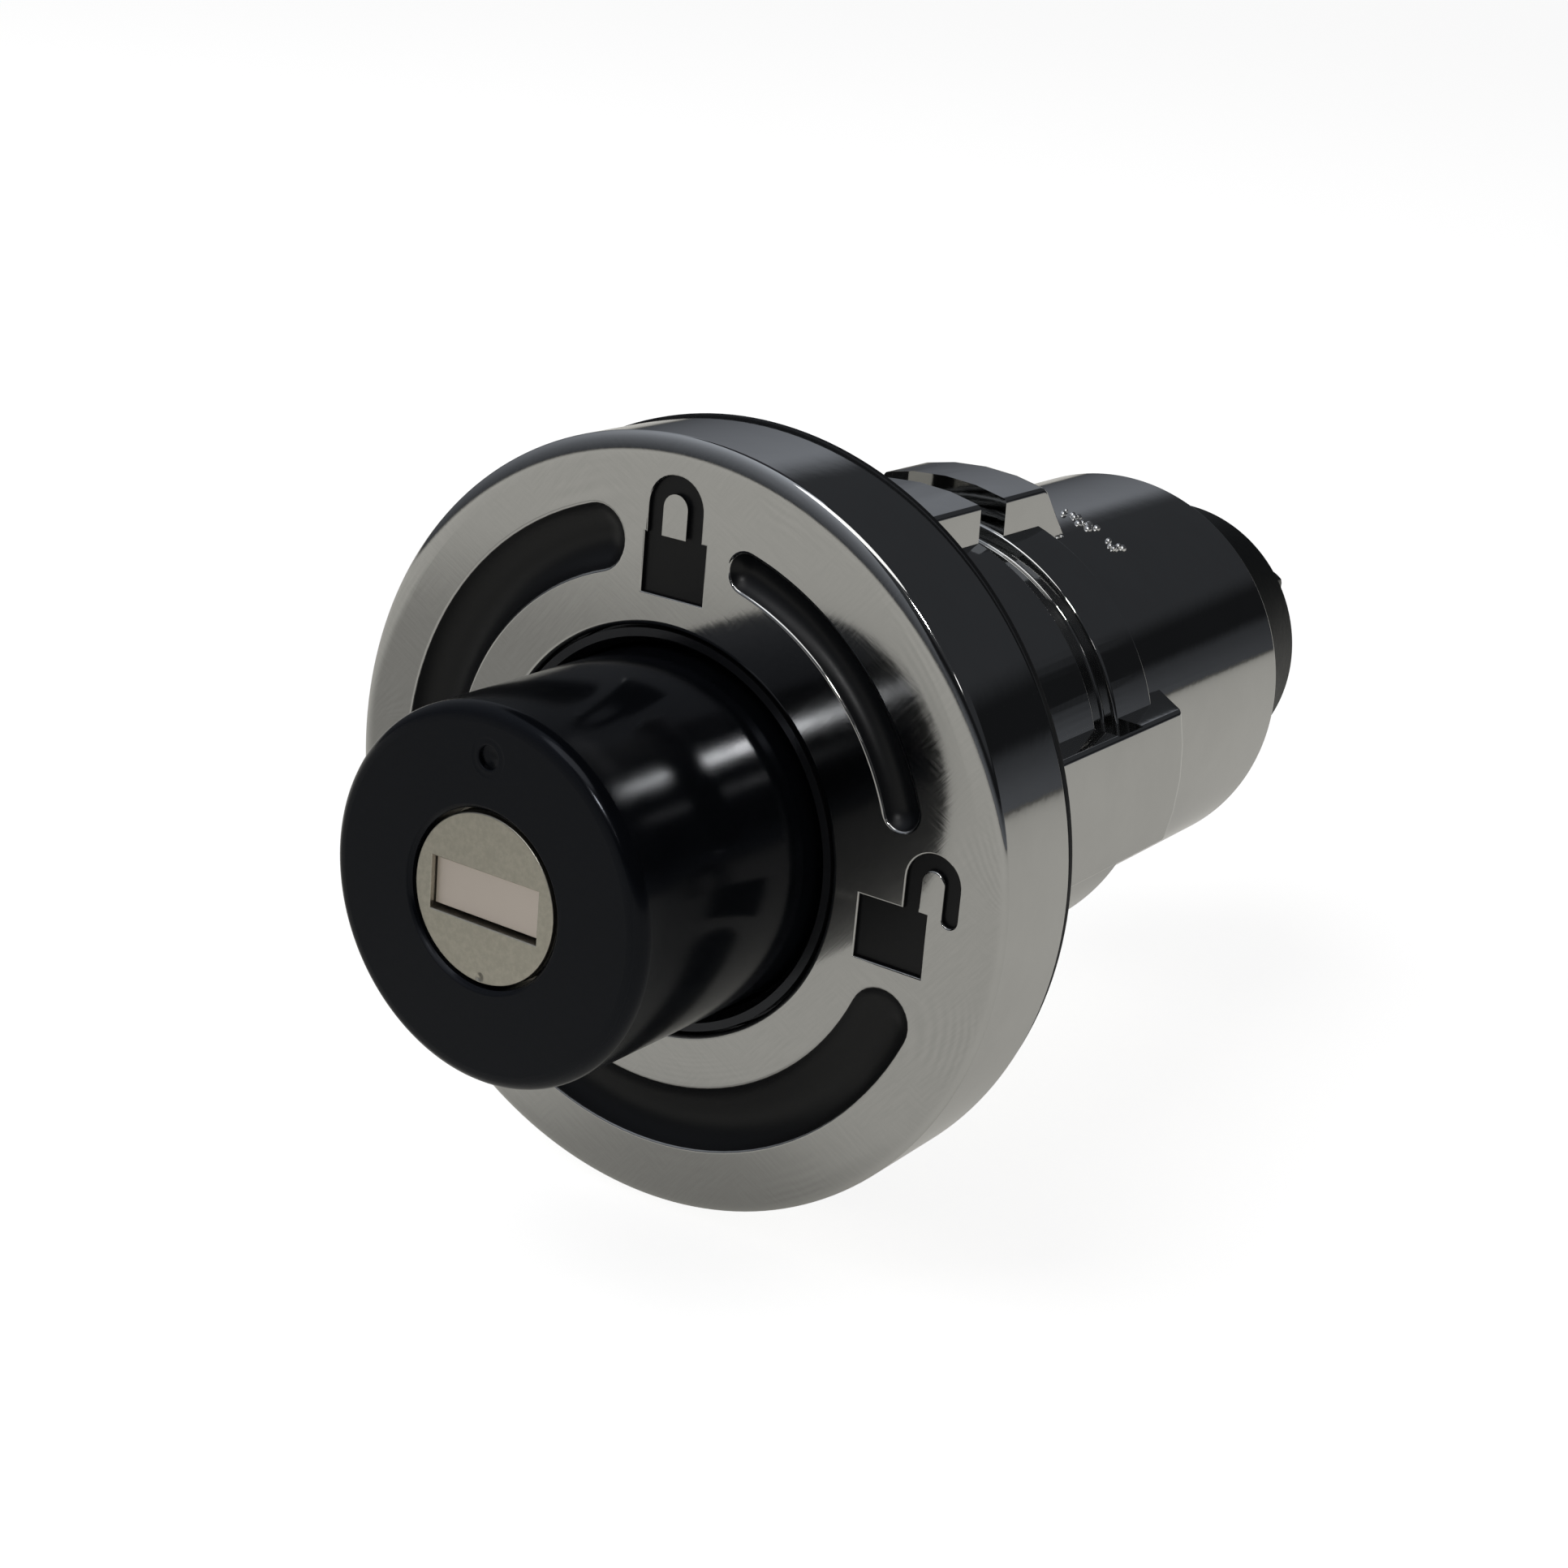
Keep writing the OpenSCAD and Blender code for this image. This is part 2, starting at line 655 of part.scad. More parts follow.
module shutter() {
    half_w = keyway_w / 2 - 0.1;
    knuckle_right = half_w - 1.9;
    color([0.8, 0.73, 0.68]) difference() {
        union() {
            translate([-half_w, shutter_front, shutter_low])
                cube([2 * half_w, shutter_t, keyway_mouth_h / 2 - 0.12 - shutter_low]);
            translate([-half_w, shutter_axis_y, shutter_pin_z]) rotate([0, 90, 0])
                cylinder(h = knuckle_right + half_w, r = knuckle_r, $fn = 48);
        }
        cross_rod(plug_shoulder_r, shutter_pin_r + run_gap, shutter_axis_y, shutter_pin_z);
        translate([knuckle_right, shutter_axis_y, shutter_pin_z]) rotate([0, 90, 0])
            cylinder(h = keyway_w, r = spring_room_r, $fn = 48);
    }
}

module shutter_pin() {
    color("silver") cross_rod(plug_head_r - 0.5, shutter_pin_r, shutter_axis_y, shutter_pin_z);
}

module shutter_spring() {
    color("silver") translate([keyway_w / 2 - 1.8, shutter_axis_y, shutter_pin_z]) rotate([0, 90, 0])
        coil(shutter_coil_r, 0.09, 1.5, 5, 10, 5);
}

module wafer(k) {
    color("khaki") mirror([wafer_side(k), 0, 0]) difference() {
        intersection() {
            turned(wafer_y(k) - wafer_t / 2, wafer_y(k) + wafer_t / 2, plug_r - 0.05);
            translate([-plug_r, wafer_y(k) - over, -wafer_half_h]) cube([2 * plug_r, 2 * over, 2 * wafer_half_h]);
        }
        translate([-window_half_w, wafer_y(k) - over, keyway_low - 0.15])
            cube([2 * window_half_w, 2 * over, keyway_h + 0.3]);
        translate([notch_left, wafer_y(k) - over, notch_low])
            cube([notch_right - notch_left, 2 * over, wafer_half_h]);
    }
}

module wafer_spring(k) {
    spring_z = notch_low + 0.1 + wafer_spring_r + wafer_wire_r;
    color("silver") mirror([wafer_side(k), 0, 0]) translate([web_right + 0.01, wafer_y(k), spring_z])
        rotate([0, 90, 0])
        coil(wafer_spring_r, wafer_wire_r, notch_right - web_right - 0.02, 5, 8, 5);
}

housing();
panel_gasket();
bezel_collar();
wiper_ring();
end_cap();
rod_bush();
return_spring();
cylinder_sleeve();
turn_stop_pin();
knob();
knob_circlip();
plug();
plug_circlip();
tail_rod();
rod_pin();
shutter_pin();
shutter_spring();
shutter();
wafer(1);  // wafer_1
wafer(2);  // wafer_2
wafer(3);  // wafer_3
wafer(4);  // wafer_4
wafer(5);  // wafer_5
wafer_spring(1);  // wafer_spring_1
wafer_spring(2);  // wafer_spring_2
wafer_spring(3);  // wafer_spring_3
wafer_spring(4);  // wafer_spring_4
wafer_spring(5);  // wafer_spring_5
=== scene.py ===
"""Looks of the pushbutton lock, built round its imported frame."""

import logging
import math
from dataclasses import dataclass, field
from enum import Enum
from typing import Any, Callable

import bmesh
import bpy
from mathutils import Matrix, Vector


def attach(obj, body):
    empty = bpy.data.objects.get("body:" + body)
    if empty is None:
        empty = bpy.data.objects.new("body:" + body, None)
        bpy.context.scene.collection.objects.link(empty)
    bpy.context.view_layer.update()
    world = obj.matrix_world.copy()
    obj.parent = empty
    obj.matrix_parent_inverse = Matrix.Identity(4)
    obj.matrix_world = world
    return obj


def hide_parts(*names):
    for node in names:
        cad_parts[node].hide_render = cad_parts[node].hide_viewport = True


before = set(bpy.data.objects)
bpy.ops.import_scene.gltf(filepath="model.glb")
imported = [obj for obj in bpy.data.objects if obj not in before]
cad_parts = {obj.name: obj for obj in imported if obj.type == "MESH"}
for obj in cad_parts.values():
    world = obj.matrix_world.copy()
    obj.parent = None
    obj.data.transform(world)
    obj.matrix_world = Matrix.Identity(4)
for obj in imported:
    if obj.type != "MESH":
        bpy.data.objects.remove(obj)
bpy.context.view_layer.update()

log = logging.getLogger("pushbutton_lock")

Pair = tuple[float, float]
Point = tuple[float, float]
Place = tuple[float, float, float]
# An outline's corner: two coordinates and the radius of its rounding.
Corner = tuple[float, float, float]
Colour = tuple[float, float, float, float]
Settings = dict[str, Any] | None
Inputs = dict[str | int, Any] | None
Socket = bpy.types.NodeSocket
Piece = bpy.types.Object
Loop = list[bmesh.types.BMVert]

# A millimetre in metres.
MM = 0.001
QUARTER = math.pi / 2
# Points nearer than this are welded, in millimetres.
WELD = 0.0005
# Segments round the lock's axis.
ROUND = 192
# A face is square to the axis where its normal's part along the axis is past this.
SQUARE = 0.99999
BLACK: Colour = (0.0, 0.0, 0.0, 1.0)

# Sizes that more than one piece or finish takes, in millimetres.
FACE_Y = -9.5
MOUTH_R = 14.7
KNOB_FRONT = -28.05
BARREL_R = 16.75
BARREL_END = 56.6
WAFERS = range(1, 6)


# Shader maths


class NodeTree:
    """A tree of nodes, with the one method that adds nodes to it."""

    def __init__(self, tree: bpy.types.NodeTree) -> None:
        """Wraps that tree."""
        self.tree = tree

    def node(self, kind: str, settings: Settings = None, inputs: Inputs = None) -> bpy.types.Node:
        """Adds a node.

        Args:
            kind: The node's type, such as ShaderNodeMath.
            settings: Its options, set before its sockets.
            inputs: A value, socket or Signal for each input, by name or number.

        Returns:
            The new node.
        """
        made = self.tree.nodes.new(kind)
        for name, value in (settings or {}).items():
            setattr(made, name, value)
        for key, value in (inputs or {}).items():
            if isinstance(value, Signal):
                value = value.socket
            if isinstance(value, Socket):
                self.tree.links.new(value, made.inputs[key])
            else:
                made.inputs[key].default_value = value
        return made

    def out(self, kind: str, inputs: Inputs, settings: Settings = None) -> Socket:
        """Adds a node and returns its first output."""
        return self.node(kind, settings, inputs).outputs[0]

    def split(self, vector: Socket) -> list["Signal"]:
        """A vector's x, y and z."""
        return [Signal(self, part) for part in self.node("ShaderNodeSeparateXYZ", None, {0: vector}).outputs]

    def joined(self, *parts: Any) -> Socket:
        """A vector of these parts."""
        return self.out("ShaderNodeCombineXYZ", dict(enumerate(parts)))


class ShaderTree(NodeTree):
    """The node tree of one material or world."""

    def __init__(self, owner: bpy.types.Material | bpy.types.World) -> None:
        """Empties the owner's tree."""
        owner.use_nodes = True
        super().__init__(owner.node_tree)
        self.tree.nodes.clear()

    def place(self) -> tuple["Signal", "Signal", "Signal", Socket]:
        """The point being shaded: x, y and z in millimetres, and the three as one vector."""
        inputs = {0: self.node("ShaderNodeTexCoord").outputs["Object"], "Scale": 1.0 / MM}
        scaled = self.out("ShaderNodeVectorMath", inputs, {"operation": "SCALE"})
        return *self.split(scaled), scaled

    def noise(self, vector: Socket, scale: float, detail: float = 3.0, rough: float = 0.5) -> "Signal":
        """Fractal noise from 0 to 1, with scale in cells a millimetre."""
        inputs = {"Vector": vector, "Scale": scale, "Detail": detail, "Roughness": rough}
        return Signal(self, self.out("ShaderNodeTexNoise", inputs))

    def mix(self, factor: Any, low: Any, high: Any) -> Socket:
        """A colour that goes from low to high with factor."""
        return self.node("ShaderNodeMix", {"data_type": "RGBA"}, {0: factor, 6: low, 7: high}).outputs[2]

    def bump(self, height: "Signal", depth_mm: float) -> Socket:
        """A normal for a relief that is depth_mm high where height is 1."""
        return self.out("ShaderNodeBump", {"Height": height, "Distance": depth_mm * MM, "Strength": 1.0})

    def surface(self, **inputs: Any) -> None:
        """Ends the tree in a Principled shader.

        Args:
            **inputs: The shader's sockets, with underscores for the spaces in their names.
        """
        named = {key.replace("_", " "): value for key, value in inputs.items()}
        shader = self.out("ShaderNodeBsdfPrincipled", named)
        self.node("ShaderNodeOutputMaterial", None, {"Surface": shader})


class Signal:
    """A number in a node tree. Python's operators on it add Math nodes."""

    def __init__(self, nodes: NodeTree, socket: Socket) -> None:
        """Wraps a socket of that tree."""
        self.nodes = nodes
        self.socket = socket

    def maths(self, operation: str, *values: Any) -> "Signal":
        """One Math node on these values."""
        made = self.nodes.out("ShaderNodeMath", dict(enumerate(values)), {"operation": operation})
        return Signal(self.nodes, made)

    def __add__(self, other: Any) -> "Signal":
        """self + other, and other + self"""
        return self.maths("ADD", self, other)

    __radd__ = __add__

    def __sub__(self, other: Any) -> "Signal":
        """self - other"""
        return self.maths("SUBTRACT", self, other)

    def __rsub__(self, other: Any) -> "Signal":
        """other - self"""
        return self.maths("SUBTRACT", other, self)

    def __mul__(self, other: Any) -> "Signal":
        """self * other, and other * self"""
        return self.maths("MULTIPLY", self, other)

    __rmul__ = __mul__

    def __pow__(self, other: Any) -> "Signal":
        """self ** other"""
        return self.maths("POWER", self, other)

    def root(self) -> "Signal":
        """Square root."""
        return self.maths("SQRT", self)

    def sine(self) -> "Signal":
        """Sine."""
        return self.maths("SINE", self)

    def cosine(self) -> "Signal":
        """Cosine."""
        return self.maths("COSINE", self)

    def rise(self, low: float, high: float) -> "Signal":
        """0 below low, 1 above high, and smooth between them. It falls if low is above high."""
        start, end, first, last = (low, high, 0.0, 1.0) if low < high else (high, low, 1.0, 0.0)
        inputs = {0: self, 1: start, 2: end, 3: first, 4: last}
        made = self.nodes.out("ShaderNodeMapRange", inputs, {"interpolation_type": "SMOOTHSTEP"})
        return Signal(self.nodes, made)


# Finishes


def tinted(colour: Colour, share: float) -> Colour:
    """A colour that is darker or lighter by that share."""
    return (colour[0] * share, colour[1] * share, colour[2] * share, 1.0)


@dataclass(frozen=True)
class Finish:
    """What every finish has: a name and a colour."""

    name: str
    colour: Colour

    def dress(self, shader: ShaderTree) -> None:
        """Fills the material's tree."""
        raise NotImplementedError

    def material(self) -> bpy.types.Material:
        """The material, which is made once."""
        found = bpy.data.materials.get(self.name)
        if found is None:
            found = bpy.data.materials.new(self.name)
            self.dress(ShaderTree(found))
        return found


@dataclass(frozen=True)
class ChromeCasting(Finish):
    """Bright plating on the die casting, hazier on the flange's face, with black paint in its recesses."""

    paint: Colour = (0.0045, 0.005, 0.0065, 1.0)
    paint_rough: float = 0.30
    face_y: float = FACE_Y
    mouth_r: float = MOUTH_R
    flat_r: float = 26.3
    ring_r: float = 22.5
    face_haze: float = 0.06
    side_gloss: float = 0.045
    relief_mm: float = 0.08
    face_tone: float = 0.88
    gleam: float = 0.27
    cloud_cells: float = 0.16
    grain_cells: float = 3.2
    patch_cells: float = 0.09
    scratch_cells: Pair = (0.4, 4.5)
    scratch_turns: Pair = (0.9, -0.5)

    def dress(self, shader: ShaderTree) -> None:
        """Plating and paint, split by depth below the face."""
        x, y, z, point = shader.place()
        radius = (x * x + z * z).root()
        inside = radius.rise(self.mouth_r + 0.55, self.mouth_r + 0.6)
        inside = inside * radius.rise(self.flat_r - 0.1, self.flat_r - 0.15)
        depth = y - self.face_y
        painted = inside * depth.rise(0.07, 0.12) * depth.rise(4.0, 3.9)
        on_face = depth.rise(0.35, 0.1)
        clouds = shader.noise(point, self.cloud_cells, 4.0, 0.6)
        grain = shader.noise(point, self.grain_cells, 3.0, 0.6)
        first, second = (self.scratches(shader, x, z, turn) for turn in self.scratch_turns)
        swirl = first * clouds.rise(0.42, 0.56) + second * clouds.rise(0.56, 0.42)
        # Rings that crowd together away from ring_r, bent by height and clouds, and only in patches.
        rings = z.maths("ARCTAN2", z, 0.5) * 240.0 + (radius - self.ring_r) ** 2.0 * 1.5 + clouds * 8.0
        chatter = rings.sine() * shader.noise(point, self.patch_cells, 2.0).rise(0.5, 0.66)
        haze = on_face * (self.face_haze - self.side_gloss + clouds * 0.04 - 0.02 + swirl * 0.04)
        plated = haze + self.side_gloss + grain * 0.01
        relief = clouds * (0.16 - on_face * 0.11) + grain * 0.003
        relief = relief + (swirl * 0.006 + chatter * 0.004) * on_face
        tone = shader.mix(clouds.rise(0.3, 0.75), self.colour, tinted(self.colour, 0.95))
        dim, bright = (tinted(self.colour, self.face_tone * share) for share in (0.95, 1.05))
        polished = shader.mix(swirl * 0.7 + 0.15 + chatter * 0.4, dim, bright)
        shader.surface(
            Base_Color=shader.mix(painted, shader.mix(on_face, tone, polished), self.paint),
            Metallic=1.0 - painted,
            Roughness=plated * (1.0 - painted) + (self.paint_rough + grain * 0.12) * painted,
            Specular_IOR_Level=self.gleam,
            Normal=shader.bump(relief, self.relief_mm),
        )

    def scratches(self, shader: ShaderTree, x: Signal, z: Signal, turn: float) -> Signal:
        """Fine polishing scratches.

        Args:
            shader: The material's tree.
            x: Place across the face.
            z: Place up the face.
            turn: The scratches' direction in radians.

        Returns:
            Their strength, from 0 to 1.
        """
        along = x * math.cos(turn) + z * math.sin(turn)
        across = z * math.cos(turn) - x * math.sin(turn)
        place = shader.joined(along * self.scratch_cells[0], across * self.scratch_cells[1])
        return shader.noise(place, 1.0, 4.0, 0.65).rise(0.3, 0.7)


@dataclass(frozen=True)
class KnobLacquer(Finish):
    """Black lacquer: matte and finely pebbled on the face, glossy on the side."""

    front_y: float = KNOB_FRONT
    face_rough: float = 0.47
    side_rough: float = 0.16
    gleam: float = 0.165
    # A cool tint on the reflections: a painted bluish cast that stands in for the room's light.
    sheen: Colour = (0.84, 0.89, 1.0, 1.0)

    def dress(self, shader: ShaderTree) -> None:
        """Face and side, with a soft change at the rim."""
        _, y, _, point = shader.place()
        side = y.rise(self.front_y + 0.03, self.front_y + 0.22)
        pebbles = shader.noise(point, 5.0, 3.0, 0.6)
        smears = shader.noise(point, 0.35, 4.0, 0.6)
        shader.surface(
            Base_Color=shader.mix(smears, self.colour, tinted(self.colour, 1.5)),
            Roughness=self.face_rough + smears * 0.1 - 0.05 + side * (self.side_rough - self.face_rough),
            Specular_IOR_Level=self.gleam,
            Specular_Tint=self.sheen,
            Normal=shader.bump(pebbles * (0.35 - side * 0.33) + smears * 0.12, 0.012),
        )


@dataclass(frozen=True)
class SatinPlate(Finish):
    """Satin nickel plating with a fine mottle, on the plug and its shutter."""

    rough: float = 0.36
    mottle: float = 2.6
    dimple: Point = (0.0, -5.4)
    dimple_r: float = 0.0

    def dress(self, shader: ShaderTree) -> None:
        """Mottled satin metal, with a small staked dimple where it has a radius."""
        x, _, z, point = shader.place()
        spots = shader.noise(point, self.mottle, 5.0, 0.68)
        relief = spots * 0.5
        if self.dimple_r > 0:
            away = ((x - self.dimple[0]) ** 2.0 + (z - self.dimple[1]) ** 2.0).root()
            relief = relief + away.rise(0.0, self.dimple_r) * 6.0
        shader.surface(
            Base_Color=shader.mix(spots.rise(0.35, 0.7), tinted(self.colour, 0.86), self.colour),
            Metallic=1.0,
            Roughness=self.rough + shader.noise(point, 0.5) * 0.12 - 0.06,
            Normal=shader.bump(relief, 0.03),
        )


@dataclass(frozen=True)
class Dull(Finish):
    """Rubber, moulded plastic or baked paint: one colour, a soft sheen and a fine grain."""

    rough: float = 0.5
    grain: float = 2.0
    grain_mm: float = 0.01
    gleam: float = 0.4
    # A cool tint on the reflections: a painted bluish cast that stands in for the room's light.
    sheen: Colour = (0.86, 0.9, 1.0, 1.0)

    def dress(self, shader: ShaderTree) -> None:
        """Grained surface with a slightly uneven sheen."""
        _, _, _, point = shader.place()
        wide = shader.noise(point, 0.2)
        shader.surface(
            Base_Color=shader.mix(wide.rise(0.3, 0.7), self.colour, tinted(self.colour, 1.35)),
            Roughness=self.rough + wide * 0.14 - 0.07,
            Specular_IOR_Level=self.gleam,
            Specular_Tint=self.sheen,
            Normal=shader.bump(shader.noise(point, self.grain, 4.0, 0.6), self.grain_mm),
        )


@dataclass(frozen=True)
class FloorPaper(Finish):
    """Plain paper that glows by itself, so that shadows on it stay faint."""

    glow: float = 0.55
    front_shade: float = 0.0
    under_shade: float = 0.0
    far_shade: float = 0.0

    def dress(self, shader: ShaderTree) -> None:
        """Matte paper with a steady glow, shaded softly at the front left, under the flange and far away."""
        x, y, _, _ = shader.place()
        front = ((x + 100.0) ** 2.0 + (y + 92.0) ** 2.0).root().rise(85.0, 20.0)
        under = (x * x + (y + 10.0) ** 2.0).root().rise(26.0, 8.0)
        far = (x * x + y * y).root().rise(500.0, 3500.0)
        shade = front * self.front_shade + under * self.under_shade + far * self.far_shade
        tone = shader.mix(shade, self.colour, BLACK)
        shader.surface(
            Base_Color=tone,
            Roughness=0.95,
            Specular_IOR_Level=0.1,
            Emission_Color=tone,
            Emission_Strength=self.glow,
        )


class Lay(Enum):
    """Which way a metal's tool marks run."""

    ROUND_THE_AXIS = "round"
    ALONG_THE_AXIS = "along"
    ALL_WAYS = "all"


@dataclass(frozen=True)
class WorkedMetal(Finish):
    """Bare or thinly plated metal with tool marks."""

    rough: float = 0.3
    lay: Lay = Lay.ROUND_THE_AXIS
    marks: float = 9.0

    def dress(self, shader: ShaderTree) -> None:
        """Metal with marks that run the way it was worked."""
        x, y, z, point = shader.place()
        clouds = shader.noise(point, 0.3, 3.0, 0.55)
        if self.lay is Lay.ROUND_THE_AXIS:
            marks = ((y * self.marks + clouds * 5.0).sine() + 1.0) * 0.5
        elif self.lay is Lay.ALONG_THE_AXIS:
            across = (x * self.marks + clouds * 3.0).sine() * (z * self.marks + clouds * 4.0).sine()
            marks = (across + 1.0) * 0.5
        else:
            marks = shader.noise(point, self.marks * 0.4, 4.0, 0.6)
        shader.surface(
            Base_Color=shader.mix(clouds.rise(0.3, 0.7), tinted(self.colour, 0.8), self.colour),
            Metallic=1.0,
            Roughness=self.rough + clouds * 0.1 - 0.05,
            Normal=shader.bump(marks, 0.004),
        )


CHROME = ChromeCasting("chrome_casting", (0.52, 0.52, 0.51, 1.0))
LACQUER = KnobLacquer("knob_lacquer", (0.0035, 0.0042, 0.006, 1.0))
NICKEL = SatinPlate("satin_nickel", (0.485, 0.465, 0.40, 1.0), dimple_r=0.45)
SHUTTER_NICKEL = SatinPlate("shutter_nickel", (0.53, 0.468, 0.395, 1.0), rough=0.33)
COLLAR_BLACK = Dull("collar_black", (0.009, 0.0095, 0.011, 1.0), rough=0.22, grain=1.0, grain_mm=0.002)
RUBBER = Dull("seal_rubber", (0.009, 0.009, 0.009, 1.0), rough=0.62)
CAP_BLACK = Dull("cap_black", (0.005, 0.006, 0.005, 1.0), rough=0.45, grain=1.6, grain_mm=0.02, gleam=0.24)
SPRING_STEEL = WorkedMetal("spring_steel", (0.42, 0.42, 0.43, 1.0), rough=0.3, lay=Lay.ALL_WAYS)
GROUND_STEEL = WorkedMetal("ground_steel", (0.5, 0.5, 0.51, 1.0), rough=0.2, lay=Lay.ALONG_THE_AXIS)
DARK_STEEL = WorkedMetal("dark_steel", (0.12, 0.125, 0.12, 1.0), rough=0.34)
TURNED_BRASS = WorkedMetal("turned_brass", (0.55, 0.40, 0.17, 1.0), rough=0.28)
# The pips are marks on the chrome casting. Their much brighter metal is a painted glint, so that they read as
# bright dots.
PIP_GLINT_METAL = WorkedMetal("pip_glint_metal", (0.92, 0.92, 0.91, 1.0), rough=0.3, lay=Lay.ALL_WAYS)
STAMPED_BRASS = WorkedMetal("stamped_brass", (0.58, 0.44, 0.2, 1.0), rough=0.33, lay=Lay.ALL_WAYS)

NODE_FINISHES: dict[str, Finish] = {
    "bezel_collar": COLLAR_BLACK,
    "wiper_ring": RUBBER,
    "rod_bush": TURNED_BRASS,
    "cylinder_sleeve": TURNED_BRASS,
    "turn_stop_pin": GROUND_STEEL,
    "knob_circlip": SPRING_STEEL,
    "plug": NICKEL,
    "plug_circlip": SPRING_STEEL,
    "rod_pin": GROUND_STEEL,
    "shutter_pin": GROUND_STEEL,
    "shutter": SHUTTER_NICKEL,
    **{f"wafer_{k}": STAMPED_BRASS for k in WAFERS},
}


# Mesh making


def fillet_path(corners: list[Corner], steps: int = 7) -> list[Point]:
    """Rounds the corners of a closed outline.

    Args:
        corners: Each corner's two coordinates and its rounding radius.
        steps: Segments in each rounding.

    Returns:
        The outline's points, from the first corner's rounding to the last one's.
    """
    path: list[Point] = []
    count = len(corners)
    for i, (a, b, radius) in enumerate(corners):
        here = Vector((a, b))
        if radius <= 0:
            path.append((a, b))
            continue
        before = (Vector(corners[i - 1][:2]) - here).normalized()
        after = (Vector(corners[(i + 1) % count][:2]) - here).normalized()
        angle = before.angle(after)
        centre = here + (before + after).normalized() * (radius / math.sin(angle / 2))
        reach = radius / math.tan(angle / 2)
        first = here + before * reach - centre
        last = here + after * reach - centre
        sweep = first.angle(last)
        for k in range(steps + 1):
            share = k / steps
            spoke = first * math.sin((1 - share) * sweep) + last * math.sin(share * sweep)
            point = centre + spoke / math.sin(sweep)
            path.append((point.x, point.y))
    return path


def circle_loop(radius: float, centre: Point = (0.0, 0.0), count: int = ROUND) -> list[Point]:
    """Points of a circle in the face's x and z."""
    turns = [2 * math.pi * i / count for i in range(count)]
    return [(centre[0] + radius * math.sin(t), centre[1] + radius * math.cos(t)) for t in turns]


def quarter_round(width: float, height: float, steps: int) -> list[Point]:
    """Points of a rounded edge, each as its distance in from the side and down from the top.

    Args:
        width: How far in the rounding starts.
        height: How far down it ends.
        steps: Segments in the rounding.

    Returns:
        The points, from (width, 0) to (0, height).
    """
    turns = [QUARTER * i / steps for i in range(steps + 1)]
    return [(width * (1 - math.sin(t)), height * (1 - math.cos(t))) for t in turns]


def grown(points: list[Point], reach: float) -> list[Point]:
    """Moves a closed outline's sides outwards, with mitred corners.

    Args:
        points: The outline, in either direction.
        reach: How far its sides move. It shrinks below zero.

    Returns:
        As many points.
    """
    spots = [Vector(p) for p in points]
    count = len(spots)
    area = sum(spots[i - 1].cross(spots[i]) for i in range(count))
    way = math.copysign(reach, area)
    moved = []
    for i, spot in enumerate(spots):
        before = (spot - spots[i - 1]).normalized()
        after = (spots[(i + 1) % count] - spot).normalized()
        normals = Vector((before.y + after.y, -before.x - after.x))
        place = spot + normals * (way / (1.0 + before.dot(after)))
        moved.append((place.x, place.y))
    return moved


class ShellMesh:
    """A mesh in the making. Lengths are in millimetres, and the lock's axis is y."""

    def __init__(self) -> None:
        """Starts empty."""
        self.bm = bmesh.new()

    def loop(self, points: list[Point], y: float) -> Loop:
        """Vertices of a closed outline in x and z, at one y."""
        return [self.bm.verts.new((x, y, z)) for x, z in points]

    def skin(self, rings: list[Loop]) -> None:
        """Quads from each outline to the next.

        Args:
            rings: The outlines, with as many points each.
        """
        for first, second in zip(rings, rings[1:]):
            for i, vert in enumerate(first):
                j = (i + 1) % len(first)
                self.bm.faces.new((vert, first[j], second[j], second[i]))

    def lathe(self, path: list[Point], closed: bool) -> None:
        """Turns an outline of radius against y about the axis.

        Args:
            path: The outline.
            closed: Whether its last point joins its first.
        """
        rings = [self.loop(circle_loop(radius), y) for radius, y in path]
        self.skin([*rings, rings[0]] if closed else rings)

    def fill(self, loops: list[Loop]) -> None:
        """Triangles between flat outlines.

        Args:
            loops: The outlines. One inside another is a hole, and one inside that an island.
        """
        edges = []
        for loop in loops:
            for i, vert in enumerate(loop):
                follower = loop[(i + 1) % len(loop)]
                edges.append(self.bm.edges.get((vert, follower)) or self.bm.edges.new((vert, follower)))
        bmesh.ops.triangle_fill(self.bm, use_beauty=True, use_dissolve=False, edges=edges)

    def loft(self, sections: list[list[Vector]]) -> None:
        """A closed body through cross-sections.

        Args:
            sections: Their points, as many in each.
        """
        rings = [[self.bm.verts.new(p) for p in section] for section in sections]
        self.skin(rings)
        self.bm.faces.new(rings[0])
        self.bm.faces.new(rings[-1])

    def mesh(self, name: str) -> bpy.types.Mesh:
        """Welds the mesh, turns its faces outwards and scales it to metres."""
        bmesh.ops.remove_doubles(self.bm, verts=self.bm.verts, dist=WELD)
        bmesh.ops.recalc_face_normals(self.bm, faces=self.bm.faces)
        bmesh.ops.scale(self.bm, vec=(MM, MM, MM), verts=self.bm.verts)
        made = bpy.data.meshes.new(name)
        self.bm.to_mesh(made)
        self.bm.free()
        return made

    def placed(self, name: str) -> Piece:
        """The mesh as an object at the origin."""
        return new_object(self.mesh(name), name)


def new_object(data: bpy.types.ID, name: str) -> Piece:
    """A new object at the origin, for a mesh, a lamp or a camera."""
    made = bpy.data.objects.new(name, data)
    bpy.context.scene.collection.objects.link(made)
    return made


def baked(obj: Piece) -> Piece:
    """Replaces an object's mesh by what its modifiers make of it, and removes them.

    Args:
        obj: The object.

    Returns:
        The same object.
    """
    bpy.context.view_layer.update()
    evaluated = obj.evaluated_get(bpy.context.evaluated_depsgraph_get())
    mesh = bpy.data.meshes.new_from_object(evaluated)
    obj.modifiers.clear()
    obj.data = mesh
    mesh.name = obj.name
    return obj


